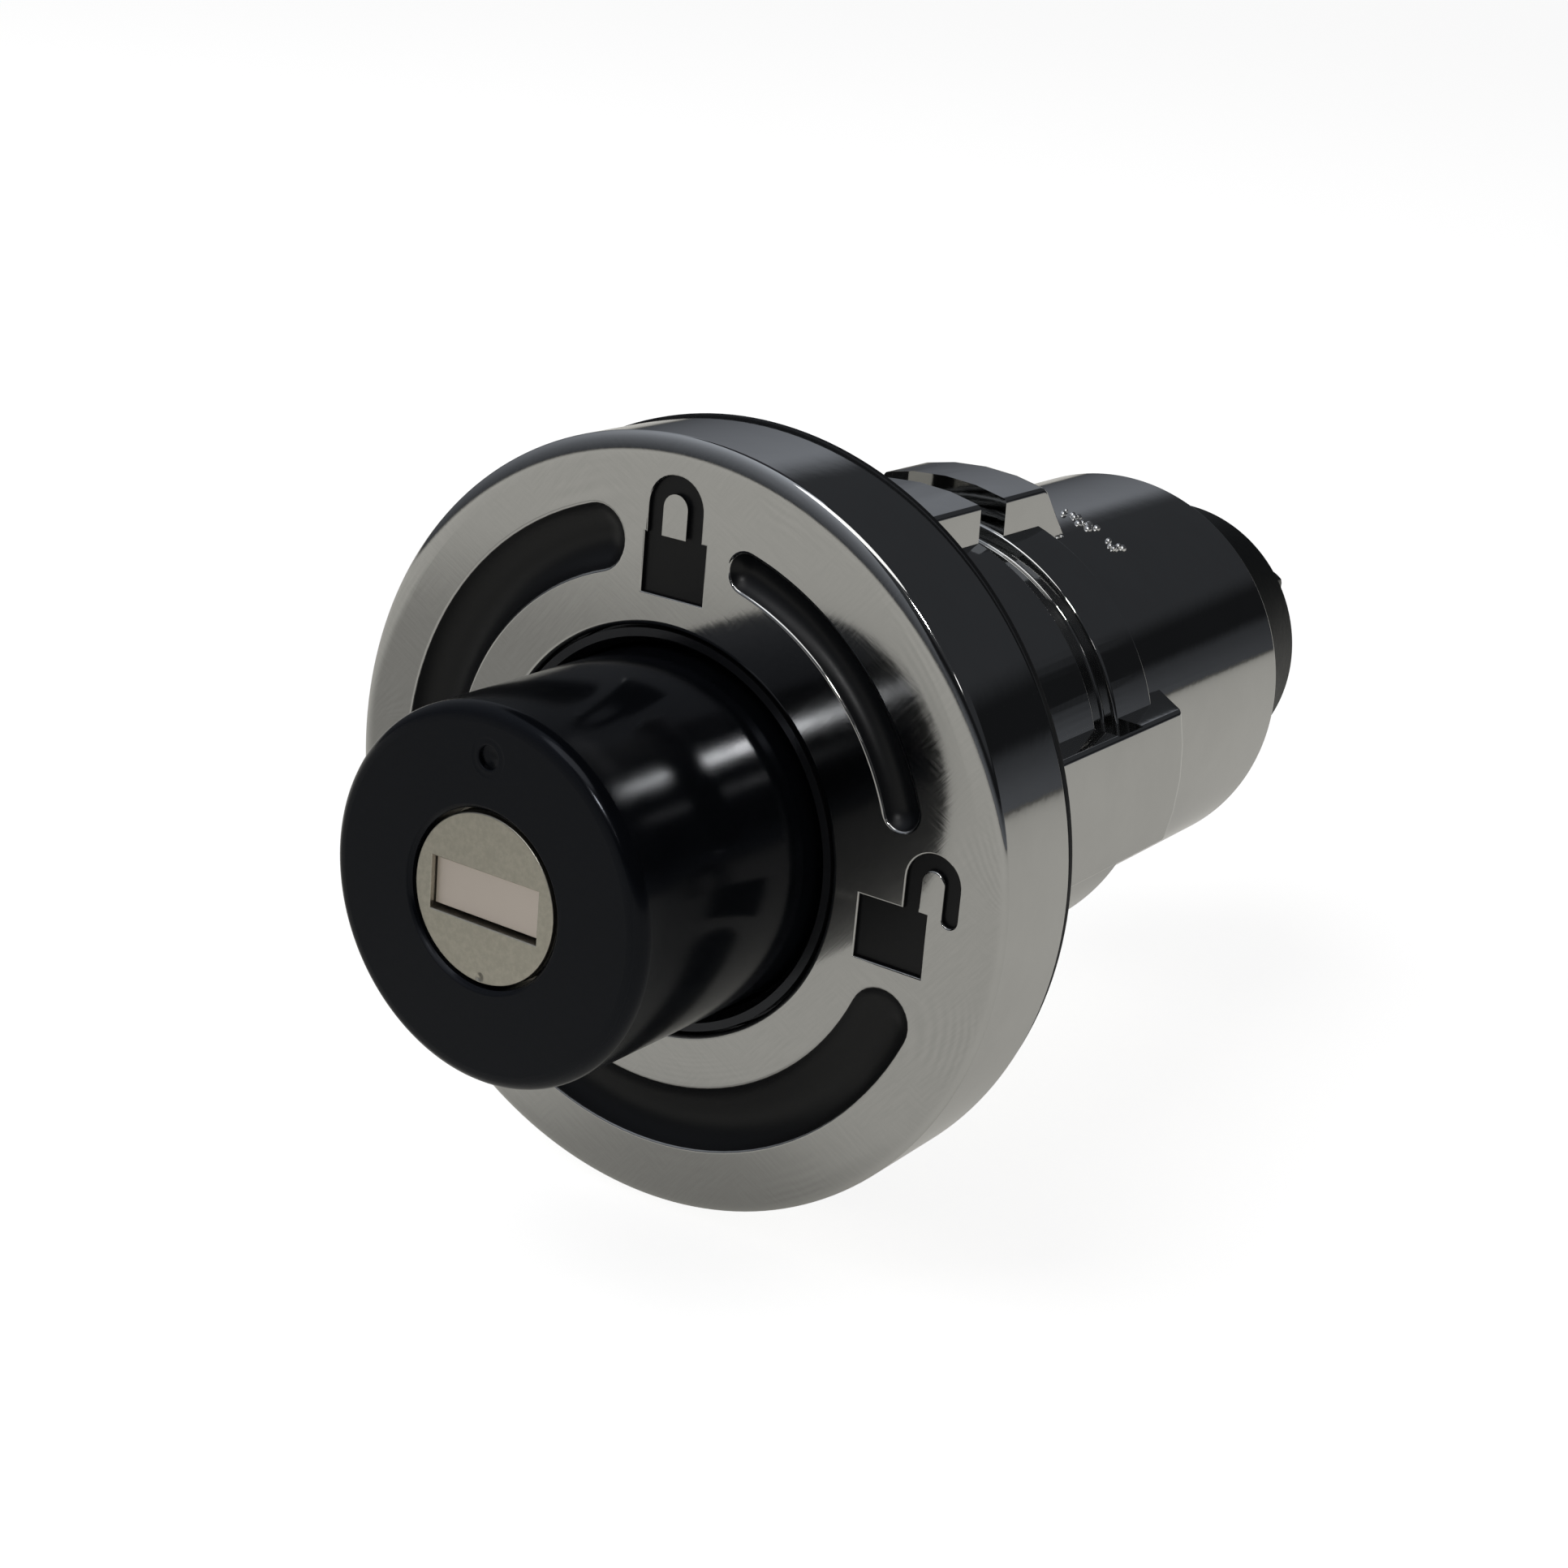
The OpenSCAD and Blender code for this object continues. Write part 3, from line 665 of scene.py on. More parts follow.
def smooth(obj: Piece, degrees: float = 32.0) -> Piece:
    """Smooth shading, with edges sharp past an angle and round faces square to the axis.

    Args:
        obj: The piece.
        degrees: The angle.

    Returns:
        The same piece.
    """
    mesh = obj.data
    mesh.shade_smooth()
    mesh.set_sharp_from_angle(angle=math.radians(degrees))
    square_sides = [0] * len(mesh.edges)
    for face in mesh.polygons:
        if abs(face.normal.y) > SQUARE:
            for i in face.loop_indices:
                square_sides[mesh.loops[i].edge_index] += 1
    for edge, sides in zip(mesh.edges, square_sides):
        edge.use_edge_sharp = edge.use_edge_sharp or sides == 1
    weigh = obj.modifiers.new("weigh", "WEIGHTED_NORMAL")
    weigh.keep_sharp = True
    weigh.weight = 50
    return baked(obj)


def combine(base: Piece, others: list[Piece], operation: str) -> Piece:
    """Joins or cuts a mesh by others, which are removed.

    Args:
        base: The object that is changed.
        others: What is added or cut away.
        operation: UNION or DIFFERENCE.

    Returns:
        The changed object.
    """
    for other in others:
        cut = base.modifiers.new("cut", "BOOLEAN")
        cut.object = other
        cut.operation = operation
        cut.solver = "MANIFOLD"
    baked(base)
    for other in others:
        bpy.data.objects.remove(other)
    return base


def wear(obj: Piece, finish: Finish) -> Piece:
    """Gives a piece its only material."""
    obj.data.materials.clear()
    obj.data.materials.append(finish.material())
    return obj


def register(obj: Piece, body: str, finish: Finish, slot: str, *nodes: str) -> Piece:
    """Finishes a piece and ties it to the frame.

    Args:
        obj: The piece.
        body: The body that it moves with.
        finish: Its finish.
        slot: The record's material slot. It is not used.
        *nodes: The nodes that it stands for.

    Returns:
        The piece.
    """
    wear(obj, finish)
    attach(obj, body)
    if nodes:
        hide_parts(*nodes)
    log.info("%s: %d faces on %s", obj.name, len(obj.data.polygons), body)
    return obj


# Recesses in flat faces


def clock_spot(radius: float, clock: float) -> Point:
    """The point of a circle at that many degrees clockwise from 12 o'clock."""
    turn = math.radians(clock)
    return radius * math.sin(turn), radius * math.cos(turn)


class Recess:
    """A hollow in a flat face."""

    def carve(self, shell: ShellMesh, y: float) -> list[Loop]:
        """Adds the hollow's surface.

        Args:
            shell: The mesh that has the face.
            y: The face's place along the axis.

        Returns:
            The hollow's outlines at the face.
        """
        raise NotImplementedError


@dataclass(frozen=True)
class Trough(Recess):
    """A round-bottomed groove along part of a circle, with rounded ends and lips."""

    radius: float
    width: float
    depth: float
    start: float
    end: float
    lip: float = 0.22
    steps: int = 72
    tip_steps: int = 14
    lip_steps: int = 4
    floor_steps: int = 11

    def side(self, reach: float, start: float, end: float) -> list[Point]:
        """Points along the groove, at one distance out from its middle line."""
        clocks = [start + (end - start) * i / self.steps for i in range(self.steps)]
        return [clock_spot(self.radius + reach, clock) for clock in clocks]

    def tip(self, reach: float, clock: float, first: float) -> list[Point]:
        """The half circle round the end at that clock angle, from the direction of first."""
        x, z = clock_spot(self.radius, clock)
        turns = [math.radians(clock) + first + math.pi * i / self.tip_steps for i in range(self.tip_steps)]
        return [(x + reach * math.sin(turn), z + reach * math.cos(turn)) for turn in turns]

    def outline(self, reach: float) -> list[Point]:
        """The points at one distance from the groove's middle line."""
        points = self.side(reach, self.start, self.end) + self.tip(reach, self.end, 0.0)
        return points + self.side(-reach, self.end, self.start) + self.tip(reach, self.start, math.pi)

    def section(self) -> list[Point]:
        """Distance from the middle line and depth, from the lip's outer edge to the floor."""
        ball = (self.width**2 / 4 + self.depth**2) / (2 * self.depth)
        meet = math.acos(1 - self.depth / (ball + self.lip))
        turns = [meet * i / self.lip_steps for i in range(self.lip_steps + 1)]
        edge = (ball + self.lip) * math.sin(meet)
        path = [(edge - self.lip * math.sin(t), self.lip * (1 - math.cos(t))) for t in turns]
        turns = [meet * (1 - i / self.floor_steps) for i in range(1, self.floor_steps + 1)]
        return path + [(max(ball * math.sin(t), 0.0), self.depth - ball + ball * math.cos(t)) for t in turns]

    def carve(self, shell: ShellMesh, y: float) -> list[Loop]:
        """The groove's lips and floor."""
        rings = [shell.loop(self.outline(reach), y + depth) for reach, depth in self.section()]
        shell.skin(rings)
        return [rings[0]]


@dataclass
class Sign(Recess):
    """A flat-bottomed recess with an outline, islands that stay at the face, and rounded lips."""

    outline: list[Point]
    islands: list[list[Point]] = field(default_factory=list)
    depth: float = 0.35
    lip: float = 0.11
    lip_steps: int = 4

    def carve(self, shell: ShellMesh, y: float) -> list[Loop]:
        """The recess's lips, walls and floor."""
        rims, floors = [], []
        for points in [self.outline, *self.islands]:
            way = 1.0 if points is self.outline else -1.0
            rounding = quarter_round(self.lip, self.lip, self.lip_steps)
            rings = [shell.loop(grown(points, way * reach), y + dip) for reach, dip in rounding]
            rings.append(shell.loop(points, y + self.depth))
            shell.skin(rings)
            rims.append(rings[0])
            floors.append(rings[-1])
        shell.fill(floors)
        return rims


@dataclass
class Drilling(Recess):
    """A round hole with a rounded rim, a shallow ring pressed round it and a conical floor.

    The ring's points are distances out from the rim and down. The cone's are shares of the radius.
    """

    centre: Point
    radius: float
    depth: float
    rim: float = 0.12
    cone: tuple[Pair, ...] = ((1.0, 0.0), (0.5, 0.12), (0.0, 0.2))
    ring: tuple[Pair, ...] = ((0.45, 0.0), (0.3, 0.03), (0.15, 0.018))
    count: int = 40

    def carve(self, shell: ShellMesh, y: float) -> list[Loop]:
        """The hole with its ring and its cone."""
        path = [(self.radius + self.rim + reach, dip) for reach, dip in self.ring]
        path += [(self.radius + reach, dip) for reach, dip in quarter_round(self.rim, self.rim, steps=4)]
        path += [(self.radius * out, self.depth + self.radius * drop) for out, drop in self.cone]
        rings = [shell.loop(circle_loop(r, self.centre, self.count), y + d) for r, d in path]
        shell.skin(rings)
        return [rings[0]]


def face_with(shell: ShellMesh, outer: float, inner: float, y: float, recesses: list[Recess]) -> None:
    """A flat ring between two circles, with recesses carved into it.

    Args:
        shell: The mesh that it is added to.
        outer: The outer circle's radius.
        inner: The inner circle's radius.
        y: The ring's place along the axis.
        recesses: What is carved into it.
    """
    loops = [shell.loop(circle_loop(radius), y) for radius in (outer, inner)]
    for recess in recesses:
        loops += recess.carve(shell, y)
    shell.fill(loops)


# The lock's pieces


@dataclass
class PadlockSigns:
    """The two pictograms on the flange's face."""

    bow_steps: int = 18

    def arc(self, centre: Point, radius: float, first: float, last: float) -> list[Point]:
        """Points of an arc, with angles in degrees from the right, counter-clockwise."""
        turns = [math.radians(first + (last - first) * i / self.bow_steps) for i in range(self.bow_steps + 1)]
        return [(centre[0] + radius * math.cos(t), centre[1] + radius * math.sin(t)) for t in turns]

    def locked(self) -> Sign:
        """A closed padlock at 12 o'clock."""
        left, right, low, top = -2.85, 2.35, 16.85, 21.05
        middle, spring, bow, hole = -0.38, 23.03, 2.27, 0.9
        outline = [(left, low), (right, low), (right, top), (middle + bow, top)]
        outline += self.arc((middle, spring), bow, 0.0, 180.0)
        outline += [(middle - bow, top), (left, top)]
        island = [(middle - hole, top + 0.1), (middle + hole, top + 0.1)]
        island += self.arc((middle, spring), hole, 0.0, 180.0)
        return Sign(outline, [island])

    def unlocked(self) -> Sign:
        """An open padlock at 3 o'clock."""
        left, right, low, top = 16.95, 22.25, -4.05, 0.45
        middle, spring, bow, hole, tip = 22.45, 2.7, 2.05, 0.9, 0.6
        outline = [(left, low), (right, low), (right, top), (middle - hole, top)]
        outline += self.arc((middle, spring), hole, 180.0, 0.0)
        outline += [(middle + hole, tip)]
        outline += self.arc((middle + (hole + bow) / 2, tip), (bow - hole) / 2, 180.0, 360.0)[1:-1]
        outline += [(middle + bow, tip)]
        outline += self.arc((middle, spring), bow, 0.0, 180.0)
        outline += [(middle - bow, top), (left, top)]
        return Sign(outline)


@dataclass
class Housing:
    """The die-cast body: a flange with carved face, and a barrel with ribs and a clip groove."""

    flange_r: float = 28.0
    face_y: float = FACE_Y
    flange_back: float = -0.95
    back_edge: float = 0.15
    edge_w: float = 1.7
    edge_h: float = 0.65
    edge_steps: int = 14
    troughs: tuple[Trough, ...] = (Trough(21.0, 4.75, 1.3, 112.5, 341.0), Trough(20.7, 2.8, 0.9, 16.0, 70.5))
    mouth_r: float = MOUTH_R
    mouth_floor: float = -1.6
    mouth_edge: float = 0.4
    overlap: float = 0.4
    front_r: float = 18.2
    front_len: float = 30.7
    rear_r: float = BARREL_R
    barrel_end: float = BARREL_END
    front_bore: float = 13.5
    rear_bore: float = 14.4
    shoulder: float = 14.0
    top_rib: Pair = (20.9, 5.6)
    side_rib: Pair = (20.4, 5.4)
    rib_root: float = 15.6
    rib_flare: float = 0.15
    rib_edge_r: float = 0.45
    rib_end: float = 31.4
    rib_bend: tuple[Pair, ...] = ((-0.5, 0.0), (-0.15, 0.05), (0.25, 0.28))
    rib_foot: float = 35.1
    rib_sink: float = 0.2
    groove_front: float = 21.5
    groove_back: float = 24.8
    groove_floor: float = 17.0
    groove_flare: float = 0.25
    groove_round: float = 0.2
    groove_clear: float = 2.0
    groove_half: float = 74.7
    groove_steps: int = 96

    def flange(self) -> bpy.types.Mesh:
        """The flange, with its troughs and signs."""
        shell = ShellMesh()
        path = fillet_path(
            [
                (self.flange_r - self.edge_w, self.face_y, 0.0),
                (self.flange_r, self.face_y + self.edge_h, 0.0),
                (self.flange_r, self.flange_back, self.back_edge),
                (self.front_bore, self.flange_back, 0.0),
                (self.front_bore, self.mouth_floor, 0.0),
                (self.mouth_r, self.mouth_floor, 0.0),
                (self.mouth_r, self.face_y, self.mouth_edge),
            ]
        )
        edge = quarter_round(self.edge_w, self.edge_h, self.edge_steps)[1:-1]
        path[1:1] = [(self.flange_r - reach, self.face_y + dip) for reach, dip in edge]
        shell.lathe(path, closed=False)
        signs = PadlockSigns()
        recesses = [*self.troughs, signs.locked(), signs.unlocked()]
        face_with(shell, path[0][0], path[-1][0], self.face_y, recesses)
        return shell.mesh("flange")

    def rib(self, clock: float, radius: float, half: float) -> Piece:
        """One rib with rounded edges and a sloping rear end.

        Args:
            clock: Its place, in degrees clockwise from 12 o'clock.
            radius: How far out its crown is.
            half: Half its width.

        Returns:
            The rib.
        """
        shell = ShellMesh()
        turn = Matrix.Rotation(math.radians(clock), 3, "Y")
        foot = half + self.rib_flare
        drops = [(self.flange_back - self.overlap, 0.0)]
        drops += [(self.rib_end + past, drop) for past, drop in self.rib_bend]
        drops += [(self.rib_foot, radius - self.rear_r + self.rib_sink)]
        sections = []
        for y, drop in drops:
            corners = [(-foot, self.rib_root, 0.0)]
            for share in (-1.0, -0.5, 0.0, 0.5, 1.0):
                height = math.sqrt((radius - drop) ** 2 - (half * share) ** 2)
                corners.append((half * share, height, self.rib_edge_r if abs(share) == 1.0 else 0.0))
            corners.append((foot, self.rib_root, 0.0))
            sections.append([turn @ Vector((x, y, z)) for x, z in fillet_path(corners, steps=4)])
        shell.loft(sections)
        return shell.placed("rib")

    def clip_cutter(self) -> Piece:
        """What the clip groove takes away, with a small flare at the barrel's surface."""
        shell = ShellMesh()
        front, back, flare = self.groove_front, self.groove_back, self.groove_flare
        low, top = self.front_r, self.top_rib[0] + self.groove_clear
        corners = [(self.groove_floor, y, self.groove_round) for y in (front, back)]
        corners += [(low - flare, back, 0.0), (low - flare, front, 0.0)]
        bend = [(low - reach, rise) for reach, rise in quarter_round(flare, flare, steps=5)]
        # The corners with no rounding only steer the other two. The bends take their place.
        path = fillet_path(corners, steps=3)[:-2]
        path += [(radius, back + rise) for radius, rise in bend] + [(top, back + flare), (top, front - flare)]
        path += [(radius, front - rise) for radius, rise in reversed(bend)]
        sections = []
        for i in range(self.groove_steps + 1):
            turn = math.radians(-self.groove_half + 2 * self.groove_half * i / self.groove_steps)
            sections.append([Vector((r * math.sin(turn), y, r * math.cos(turn))) for r, y in path])
        shell.loft(sections)
        return shell.placed("clip_cutter")

    def barrel(self) -> Piece:
        """The ribbed barrel with its bore."""
        shell = ShellMesh()
        front = self.flange_back - self.overlap
        corners = [
            (self.front_r, front, 0.0),
            (self.front_r, self.front_len, 0.3),
            (self.rear_r, self.front_len, 0.3),
            (self.rear_r, self.barrel_end, 0.45),
            (self.rear_bore, self.barrel_end, 0.15),
            (self.rear_bore, self.shoulder, 0.0),
            (self.front_bore, self.shoulder, 0.0),
            (self.front_bore, front, 0.0),
        ]
        shell.lathe(fillet_path(corners, steps=5), closed=True)
        made = shell.placed("barrel")
        ribs = [self.rib(90.0 * i, *(self.side_rib if i else self.top_rib)) for i in range(4)]
        combine(made, ribs, "UNION")
        return combine(made, [self.clip_cutter()], "DIFFERENCE")

    def build(self) -> Piece:
        """Flange and barrel as one piece."""
        barrel = self.barrel()
        joined = bmesh.new()
        for mesh in (self.flange(), barrel.data):
            joined.from_mesh(mesh)
        mesh = bpy.data.meshes.new("housing_shell")
        joined.to_mesh(mesh)
        joined.free()
        bpy.data.objects.remove(barrel)
        made = smooth(new_object(mesh, "housing_shell"))
        return register(made, "housing_body", CHROME, "chrome", "housing")


@dataclass
class Gasket:
    """The thin black seal behind the flange, bevelled at its rear."""

    radius: float = 27.95
    inner_r: float = 21.3
    front: float = -0.95
    lip_back: float = -0.5
    bevel: float = 0.5
    lift: float = 0.24

    def build(self) -> Piece:
        """The seal as a closed ring."""
        shell = ShellMesh()
        corners = [
            (self.inner_r, self.front, 0.0),
            (self.radius, self.front, 0.08),
            (self.radius, self.lip_back, 0.1),
            (self.radius - self.bevel, 0.0, 0.1),
            (self.inner_r, 0.0, 0.0),
        ]
        shell.lathe(fillet_path(corners, steps=4), closed=True)
        bmesh.ops.translate(shell.bm, verts=shell.bm.verts, vec=(0.0, 0.0, self.lift))
        made = smooth(shell.placed("gasket_ring"))
        return register(made, "housing_body", RUBBER, "gasket_rubber", "panel_gasket")


@dataclass
class PlugFace:
    """The plug's plated front, which stands a little proud of the shutter."""

    radius: float = 5.8
    front: float = -27.8
    back: float = -27.38
    edge_r: float = 0.1
    keyway_half: Pair = (4.5, 1.85)
    keyway_lip: float = 0.06

    def build(self) -> Piece:
        """A disc with the keyway's mouth through it."""
        shell = ShellMesh()
        rounding = quarter_round(self.edge_r, self.edge_r, steps=4)
        path = [(self.radius - reach, self.front + dip) for reach, dip in rounding]
        rims = [shell.loop(circle_loop(radius), y) for radius, y in [*path, (self.radius, self.back)]]
        half_x, half_z = self.keyway_half
        mouth = [(-half_x, -half_z), (half_x, -half_z), (half_x, half_z), (-half_x, half_z)]
        walls = [shell.loop(grown(mouth, self.keyway_lip), self.front)]
        walls += [shell.loop(mouth, y) for y in (self.front + self.keyway_lip, self.back)]
        for rings in (rims, walls):
            shell.skin(rings)
        for end in (0, -1):
            shell.fill([rims[end], walls[end]])
        return register(smooth(shell.placed("plug_face")), "knob_body", NICKEL, "plug_nickel")


@dataclass
class Knob:
    """The black button with its slightly tapered side and drilled index mark."""

    rim_r: float = 13.0
    base_r: float = 13.08
    collar_y: float = -9.0
    front: float = KNOB_FRONT
    back: float = 5.8
    edge_r: float = 1.15
    hole_r: float = 6.1
    hole_bevel: float = 0.3
    front_wall_back: float = -25.4
    pocket_r: float = 8.3
    pocket_back: float = -22.2
    inner_r: float = 10.6
    mark: Drilling = field(default_factory=lambda: Drilling((0.0, 9.7), 0.8, 0.4))

    def build(self) -> Piece:
        """The knob as one closed shell."""
        shell = ShellMesh()
        path = fillet_path(
            [
                (self.rim_r, self.front, self.edge_r),
                (self.base_r, self.collar_y, 0.0),
                (self.base_r, self.back, 0.5),
                (self.inner_r, self.back, 0.2),
                (self.inner_r, self.pocket_back, 0.0),
                (self.pocket_r, self.pocket_back, 0.0),
                (self.pocket_r, self.front_wall_back, 0.0),
                (self.hole_r, self.front_wall_back, 0.0),
                (self.hole_r, self.front + self.hole_bevel, 0.1),
                (self.hole_r + self.hole_bevel, self.front, 0.1),
            ]
        )
        shell.lathe(path, closed=False)
        face_with(shell, path[0][0], path[-1][0], self.front, [self.mark])
        return register(smooth(shell.placed("knob_shell")), "knob_body", LACQUER, "knob_black", "knob")


@dataclass
class EndCap:
    """The dark cap at the barrel's rear, with two spanner holes."""

    spigot_r: float = 14.35
    spigot_front: float = 49.0
    barrel_end: float = BARREL_END
    rim_r: float = 15.1
    rim_back: float = 59.4
    nose_r1: float = 13.7
    nose_r2: float = 12.4
    nose_edge: Pair = (1.2, 0.4)
    back: float = 69.8
    back_wall: float = 3.0
    hollow_r: float = 10.8
    boss_r: float = 7.5
    bush_r: float = 5.52
    hole_out: float = 9.55
    hole_rings: tuple[Pair, ...] = ((1.35, 0.0), (1.25, 0.1), (1.25, 2.0))
    hole_count: int = 40

    def build(self) -> Piece:
        """The cap, turned, with its rear face drilled."""
        shell = ShellMesh()
        edge_w, edge_h = self.nose_edge
        path = fillet_path(
            [
                (self.nose_r2 - edge_w, self.back, 0.15),
                (self.nose_r2, self.back - edge_h, 0.15),
                (self.nose_r1, self.rim_back, 0.5),
                (self.rim_r, self.rim_back, 0.9),
                (self.rim_r, self.barrel_end, 0.2),
                (self.spigot_r, self.barrel_end, 0.0),
                (self.spigot_r, self.spigot_front, 0.3),
                (self.hollow_r, self.spigot_front, 0.0),
                (self.hollow_r, self.back - self.back_wall, 0.0),
                (self.boss_r, self.back - self.back_wall, 0.0),
                (self.boss_r, self.rim_back, 0.0),
                (self.bush_r, self.rim_back, 0.0),
                (self.bush_r, self.back, 0.15),
            ]
        )
        shell.lathe(path, closed=False)
        loops = [shell.loop(circle_loop(path[end][0]), self.back) for end in (0, -1)]
        for x in (self.hole_out, -self.hole_out):
            sizes = self.hole_rings
            rings = [shell.loop(circle_loop(r, (x, 0.0), self.hole_count), self.back - d) for r, d in sizes]
            shell.skin(rings)
            shell.fill([rings[-1]])
            loops.append(rings[0])
        shell.fill(loops)
        made = smooth(shell.placed("end_cap_shell"))
        return register(made, "housing_body", CAP_BLACK, "cap_metal", "end_cap")


@dataclass
class TailRod:
    """The rod, round along its length and flat on two sides at its end.

    Each point of the tip is a distance from the end, then what the radius and the half flat lose there.
    """

    radius: float = 3.5
    front: float = 23.95
    back: float = 89.2
    chamfer: float = 0.4
    flat_len: float = 9.0
    flat_run: float = 0.5
    flat_t: float = 4.6
    tip: tuple[tuple[float, float, float], ...] = ((0.7, 0.0, 0.0), (0.2, 0.4, 0.15), (0.0, 0.9, 0.5))
    count: int = 72
    sharp_degrees: float = 28.0

    def section(self, y: float, radius: float, half: float) -> list[Vector]:
        """Points of a circle that is cut off at half on both sides."""
        return [Vector((max(-half, min(half, x)), y, z)) for x, z in circle_loop(radius, count=self.count)]

    def build(self) -> Piece:
        """The rod as a loft."""
        shell = ShellMesh()
        step = self.back - self.flat_len
        half = self.flat_t / 2
        stations = [
            (self.front, self.radius - self.chamfer, self.radius),
            (self.front + self.chamfer, self.radius, self.radius),
            (step - self.flat_run, self.radius, self.radius),
            (step, self.radius, half),
        ]
        stations += [(self.back - away, self.radius - r, half - flat) for away, r, flat in self.tip]
        shell.loft([self.section(*station) for station in stations])
        made = smooth(shell.placed("tail_rod_shell"), self.sharp_degrees)
        return register(made, "knob_body", DARK_STEEL, "rod_steel", "tail_rod")


# Repeated pieces


class GeometryTree(NodeTree):
    """A Geometry Nodes tree in the making, with named inputs."""

    def __init__(self, name: str, inputs: dict[str, tuple[str, Any]]) -> None:
        """Makes the tree.

        Args:
            name: The tree's name.
            inputs: For each input, its socket's type and its value.
        """
        super().__init__(bpy.data.node_groups.new(name, "GeometryNodeTree"))
        sockets = self.tree.interface
        sockets.new_socket("Geometry", in_out="OUTPUT", socket_type="NodeSocketGeometry")
        self.values: dict[str, Any] = {}
        for label, (kind, value) in inputs.items():
            item = sockets.new_socket(label, in_out="INPUT", socket_type=f"NodeSocket{kind}")
            self.values[item.identifier] = value
        self.size = self.node("NodeGroupInput").outputs

    def grow(self, geometry: Socket, name: str) -> Piece:
        """Ends the tree and runs it.

        Args:
            geometry: The socket that has the shape.
            name: The name of what it makes.

        Returns:
            A plain mesh object.
        """
        real = self.out("GeometryNodeRealizeInstances", {0: geometry})
        soft = self.out("GeometryNodeSetShadeSmooth", {0: real})
        dressed = self.out("GeometryNodeSetMaterial", {0: soft, "Material": self.size["Finish"]})
        self.node("NodeGroupOutput", None, {0: dressed})
        made = new_object(bpy.data.meshes.new(name), name)
        grow = made.modifiers.new("grow", "NODES")
        grow.node_group = self.tree
        for identifier, value in self.values.items():
            grow[identifier] = value
        return baked(made)


@dataclass
class Coil:
    """A wound spring that stands for one node."""

    node: str
    body: str
    place: Vector
    along: Vector
    radius: float
    wire: float
    length: float
    turns: float
    steps: int = 36
    sides: int = 12

    def build(self) -> Piece:
        """Winds the wire with nodes and lays it along its line."""
        inputs = {
            "Radius": ("Float", self.radius * MM),
            "Wire": ("Float", self.wire * MM),
            "Length": ("Float", (self.length - 2 * self.wire) * MM),
            "Turns": ("Float", self.turns),
            "Finish": ("Material", SPRING_STEEL.material()),
        }
        tree = GeometryTree(f"{self.node}_winding", inputs)
        size = tree.size
        spiral = {"Resolution": self.steps, "Rotations": size["Turns"], "Height": size["Length"]}
        spiral |= {"Start Radius": size["Radius"], "End Radius": size["Radius"]}
        line = tree.out("GeometryNodeCurveSpiral", spiral)
        circle = {"Resolution": self.sides, "Radius": size["Wire"]}
        wire = tree.out("GeometryNodeCurvePrimitiveCircle", circle)
        tube = tree.out("GeometryNodeCurveToMesh", {"Curve": line, "Profile Curve": wire, "Fill Caps": True})
        made = tree.grow(tube, f"{self.node}_coil")
        turn = self.along.to_track_quat("Z", "Y").to_matrix().to_4x4()
        start = self.place + self.along * self.wire
        made.data.transform(Matrix.Translation(start * MM) @ turn)
        return register(made, self.body, SPRING_STEEL, "spring_steel", self.node)


@dataclass
class BarrelPips:
    """A field of small raised pips on the barrel, where the casting is marked. Their metal is much brighter
    than the chrome, a painted glint.
    """

    radius: float = BARREL_R
    first_clock: float = 9.0
    last_clock: float = 30.0
    first_y: float = 38.9
    last_y: float = 40.3
    count: int = 20
    pip_r: float = 0.36
    scales: Pair = (0.5, 1.1)
    height_scale: float = 0.9
    seed: int = 7

    def build(self) -> Piece:
        """Scatters the pips with nodes and sinks them into the surface."""
        inputs = {
            "Radius": ("Float", self.radius * MM),
            "Pip radius": ("Float", self.pip_r * MM),
            "Count": ("Int", self.count),
            "Seed": ("Int", self.seed),
            "Finish": ("Material", PIP_GLINT_METAL.material()),
        }
        tree = GeometryTree("barrel_pips", inputs)
        size = tree.size
        points = tree.out("GeometryNodePoints", {"Count": size["Count"]})

        def pick(low: float, high: float, key: int) -> Signal:
            """A random number for each pip. Each key gives another one."""
            span = {2: low, 3: high, "Seed": Signal(tree, size["Seed"]) + float(key)}
            return Signal(tree, tree.node("FunctionNodeRandomValue", {"data_type": "FLOAT"}, span).outputs[1])

        clock = pick(math.radians(self.first_clock), math.radians(self.last_clock), 1)
        along = pick(self.first_y * MM, self.last_y * MM, 2)
        scale = pick(*self.scales, 3)
        where = tree.joined(clock.sine() * size["Radius"], along, clock.cosine() * size["Radius"])
        pip = tree.out("GeometryNodeMeshIcoSphere", {"Radius": size["Pip radius"], "Subdivisions": 2})
        copies = {
            "Points": tree.out("GeometryNodeSetPosition", {"Geometry": points, "Position": where}),
            "Instance": pip,
            "Rotation": tree.joined(0.0, clock),
            "Scale": tree.joined(scale, scale, self.height_scale),
        }
        made = tree.grow(tree.out("GeometryNodeInstanceOnPoints", copies), "barrel_pips")
        return register(made, "housing_body", PIP_GLINT_METAL, "chrome")


# Studio


class Seen(Enum):
    """Which surfaces a lamp reaches."""

    BY_DULL = "dull"
    BY_GLOSS = "gloss"


@dataclass
class Lamp:
    """A soft disc of light that either fills the scene or only glints in polished pieces."""

    name: str
    place: Place
    size: float
    power: float
    seen: Seen
    aim: Place = (0.0, 0.01, 0.0)

    def build(self) -> None:
        """Makes the lamp and points it at the lock."""
        data = bpy.data.lights.new(self.name, "AREA")
        data.shape = "DISK"
        data.size = self.size
        data.energy = self.power
        made = new_object(data, self.name)
        made.location = self.place
        made.rotation_euler = (Vector(self.aim) - Vector(self.place)).to_track_quat("-Z", "Y").to_euler()
        made.visible_camera = False
        made.visible_glossy = self.seen is Seen.BY_GLOSS
        made.visible_diffuse = self.seen is Seen.BY_DULL


